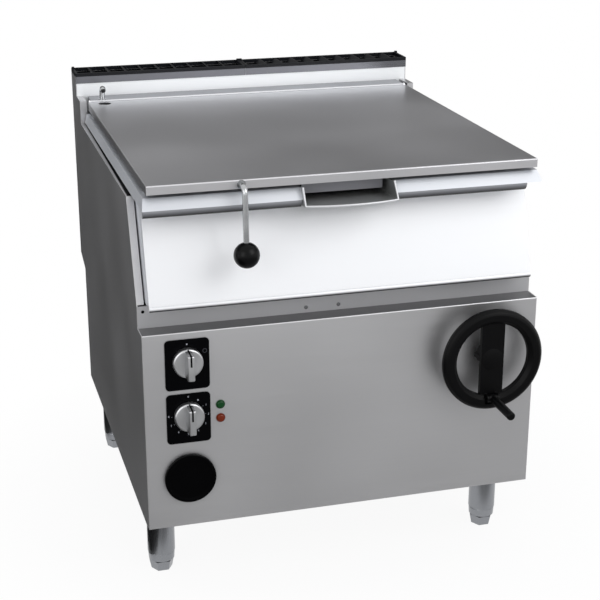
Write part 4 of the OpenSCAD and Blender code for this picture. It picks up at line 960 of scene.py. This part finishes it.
class BRATT_OT_studio(bpy.types.Operator):
    """Set up the floor, the light, the reflector cards and the camera"""

    bl_idname = "bratt.studio"
    bl_label = "Studio"

    def execute(self, context):
        s = context.scene.bratt_studio
        scene = context.scene
        scene.view_settings.view_transform = "Standard"
        self.world(scene, s)
        self.floor()
        # Cards stand where only the steel sees them: the left side and the lid mirror something dark
        self.card("side_card", s.side_card,
                  [(-2.6, -1.0, 0.004), (-0.46, -1.0, 0.004), (-0.46, 8, 0.004), (-2.6, 8, 0.004)])
        self.card("side_wall", s.side_card,
                  [(-2.6, 0.2, 0), (-2.6, 8, 0), (-2.6, 8, 1.25), (-2.6, 0.2, 1.25)])
        self.card("back_card", s.back_card, [(-2.6, 4, 0.9), (5, 4, 0.9), (5, 4, 5), (-2.6, 4, 5)],
                  fall=("X", -0.2, 1.8, 0.62))
        self.card("front_card", s.front_card,
                  [(-4, -7, 0.003), (4, -7, 0.003), (4, -0.4, 0.003), (-4, -0.4, 0.003)],
                  fall=("Y", -2.2, -0.7, 0.82))
        cabinet = (0, 0, 0.5)
        self.lamp("key_light", (2.0, -2.6, 2.9), cabinet, 2.2, s.key)
        self.lamp("fill_light", (-2.6, -2.4, 2.0), cabinet, 2.0, s.fill)
        for name, x in (("flue_light_left", -0.24), ("flue_light_right", 0.24)):
            self.lamp(name, (x, 0.0, 1.35), (x, 0.47, 0.94), 0.4, s.flue / 2)
        self.camera(scene)
        return {"FINISHED"}

    def seen_rays(self, tree):
        """One where the ray comes from the camera, a reflection or glass."""
        path = add(tree, "ShaderNodeLightPath")
        first = add(tree, "ShaderNodeMath", {"operation": "MAXIMUM"},
                    {0: path.outputs["Is Camera Ray"], 1: path.outputs["Is Glossy Ray"]})
        return add(tree, "ShaderNodeMath", {"operation": "MAXIMUM"},
                   {0: first.outputs[0], 1: path.outputs["Is Transmission Ray"]}).outputs[0]

    def world(self, scene, s):
        """White to the eye and to what mirrors it, and dimmer as a light."""
        scene.world = bpy.data.worlds.new("studio_world")
        scene.world.use_nodes = True
        tree = scene.world.node_tree
        tree.nodes.clear()
        light = add(tree, "ShaderNodeBackground", {"Color": (*linear("#FAFBFF"), 1), "Strength": s.sky})
        white = add(tree, "ShaderNodeBackground", {"Color": (1, 1, 1, 1), "Strength": 1.0})
        mix = add(tree, "ShaderNodeMixShader",
                  links={0: self.seen_rays(tree), 1: light.outputs[0], 2: white.outputs[0]})
        out = add(tree, "ShaderNodeOutputWorld")
        tree.links.new(mix.outputs[0], out.inputs[0])

    def floor(self):
        """Pale painted floor: white to the eye, with a faint part of the object's shadow kept near it."""
        shape = bmesh.new()
        bmesh.ops.create_grid(shape, x_segments=1, y_segments=1, size=30)
        mesh = bpy.data.meshes.new("studio_floor")
        shape.to_mesh(mesh)
        shape.free()
        material, tree, out = blank("floor_paint")
        paint = add(tree, "ShaderNodeBsdfDiffuse", {"Color": (*linear("#F2F2F2"), 1)})
        glow = add(tree, "ShaderNodeEmission", {"Color": (1, 1, 1, 1), "Strength": 1.0})
        seen = self.seen_rays(tree)
        place = add(tree, "ShaderNodeTexCoord")
        far = add(tree, "ShaderNodeVectorMath", {"operation": "LENGTH"}, {0: place.outputs["Object"]})
        fade = add(tree, "ShaderNodeMapRange",
                   {"From Min": 0.45, "From Max": 0.95, "To Min": 0.93, "To Max": 1.0},
                   {"Value": far.outputs["Value"]})
        share = add(tree, "ShaderNodeMath", {"operation": "MULTIPLY"}, {0: seen, 1: fade.outputs[0]})
        mix = add(tree, "ShaderNodeMixShader",
                  links={0: share.outputs[0], 1: paint.outputs[0], 2: glow.outputs[0]})
        tree.links.new(mix.outputs[0], out.inputs[0])
        mesh.materials.append(material)
        floor = bpy.data.objects.new("studio_floor", mesh)
        bpy.context.scene.collection.objects.link(floor)

    def card(self, name, brightness, corners, fall=None):
        """Flat card that only reflections see. Along an axis it may fall off to a share of its brightness."""
        mesh = bpy.data.meshes.new(name)
        mesh.from_pydata(corners, [], [(0, 1, 2, 3)])
        material, tree, out = blank(name + "_grey")
        grey = add(tree, "ShaderNodeEmission", {"Color": (1, 1, 1, 1), "Strength": brightness})
        if fall:
            axis, start, end, share = fall
            place = add(tree, "ShaderNodeTexCoord")
            part = add(tree, "ShaderNodeSeparateXYZ", links={0: place.outputs["Object"]})
            dim = brightness * share
            fade = add(tree, "ShaderNodeMapRange",
                       {"From Min": start, "From Max": end, "To Min": brightness, "To Max": dim},
                       {"Value": part.outputs[axis]})
            tree.links.new(fade.outputs[0], grey.inputs["Strength"])
        tree.links.new(grey.outputs[0], out.inputs[0])
        mesh.materials.append(material)
        card = bpy.data.objects.new(name, mesh)
        bpy.context.scene.collection.objects.link(card)
        card.visible_camera = False
        card.visible_diffuse = False
        card.visible_shadow = False
        card.visible_transmission = False

    def lamp(self, name, place, aim, size, power):
        """Square lamp that faces a point."""
        light = bpy.data.lights.new(name, "AREA")
        light.shape = "SQUARE"
        light.size = size
        light.energy = power
        lamp = bpy.data.objects.new(name, light)
        lamp.location = place
        lamp.rotation_euler = (Vector(aim) - Vector(place)).to_track_quat("-Z", "Y").to_euler()
        bpy.context.scene.collection.objects.link(lamp)

    def camera(self, scene):
        """Camera of the photograph, as solved from the cabinet's straight edges."""
        data = bpy.data.cameras.new("camera")
        data.sensor_width = 36
        data.lens = 85.38
        data.clip_start = 0.05
        data.clip_end = 200
        camera = bpy.data.objects.new("camera", data)
        camera.location = (-0.839, -2.987, 1.621)
        turn = (Matrix.Rotation(math.radians(-15.87), 3, "Z") @ Matrix.Rotation(math.radians(70.11), 3, "X")
                @ Matrix.Rotation(math.radians(0.07), 3, "Z"))
        camera.rotation_euler = turn.to_euler()
        scene.collection.objects.link(camera)
        scene.camera = camera


OPERATORS = [
    BRATT_OT_finishes, BRATT_OT_folded_sheets, BRATT_OT_dials, BRATT_OT_knobs, BRATT_OT_handwheel,
    BRATT_OT_strip_plug, BRATT_OT_rear_screws, BRATT_OT_studio,
]


class BRATT_PT_panel(bpy.types.Panel):
    """Lists the pieces of the bratt pan and their settings"""

    bl_idname = "BRATT_PT_panel"
    bl_label = "Tilting Bratt Pan"
    bl_space_type = "VIEW_3D"
    bl_region_type = "UI"
    bl_category = "Bratt Pan"

    def draw(self, context):
        for operator in OPERATORS:
            self.layout.operator(operator.bl_idname)
        for name, group in SETTINGS.items():
            box = self.layout.box()
            for key in group.__annotations__:
                box.prop(getattr(context.scene, name), key)


def register():
    for group in SETTINGS.values():
        bpy.utils.register_class(group)
    for name, group in SETTINGS.items():
        setattr(bpy.types.Scene, name, PointerProperty(type=group))
    for operator in OPERATORS:
        bpy.utils.register_class(operator)
    bpy.utils.register_class(BRATT_PT_panel)


def unregister():
    bpy.utils.unregister_class(BRATT_PT_panel)
    for operator in reversed(OPERATORS):
        bpy.utils.unregister_class(operator)
    for name in SETTINGS:
        delattr(bpy.types.Scene, name)
    for group in SETTINGS.values():
        bpy.utils.unregister_class(group)


def main():
    register()
    bpy.ops.bratt.finishes()
    bpy.ops.bratt.folded_sheets()
    bpy.ops.bratt.dials()
    bpy.ops.bratt.knobs()
    bpy.ops.bratt.handwheel()
    bpy.ops.bratt.strip_plug()
    bpy.ops.bratt.rear_screws()
    bpy.ops.bratt.studio()


if __name__ == "__main__":
    main()
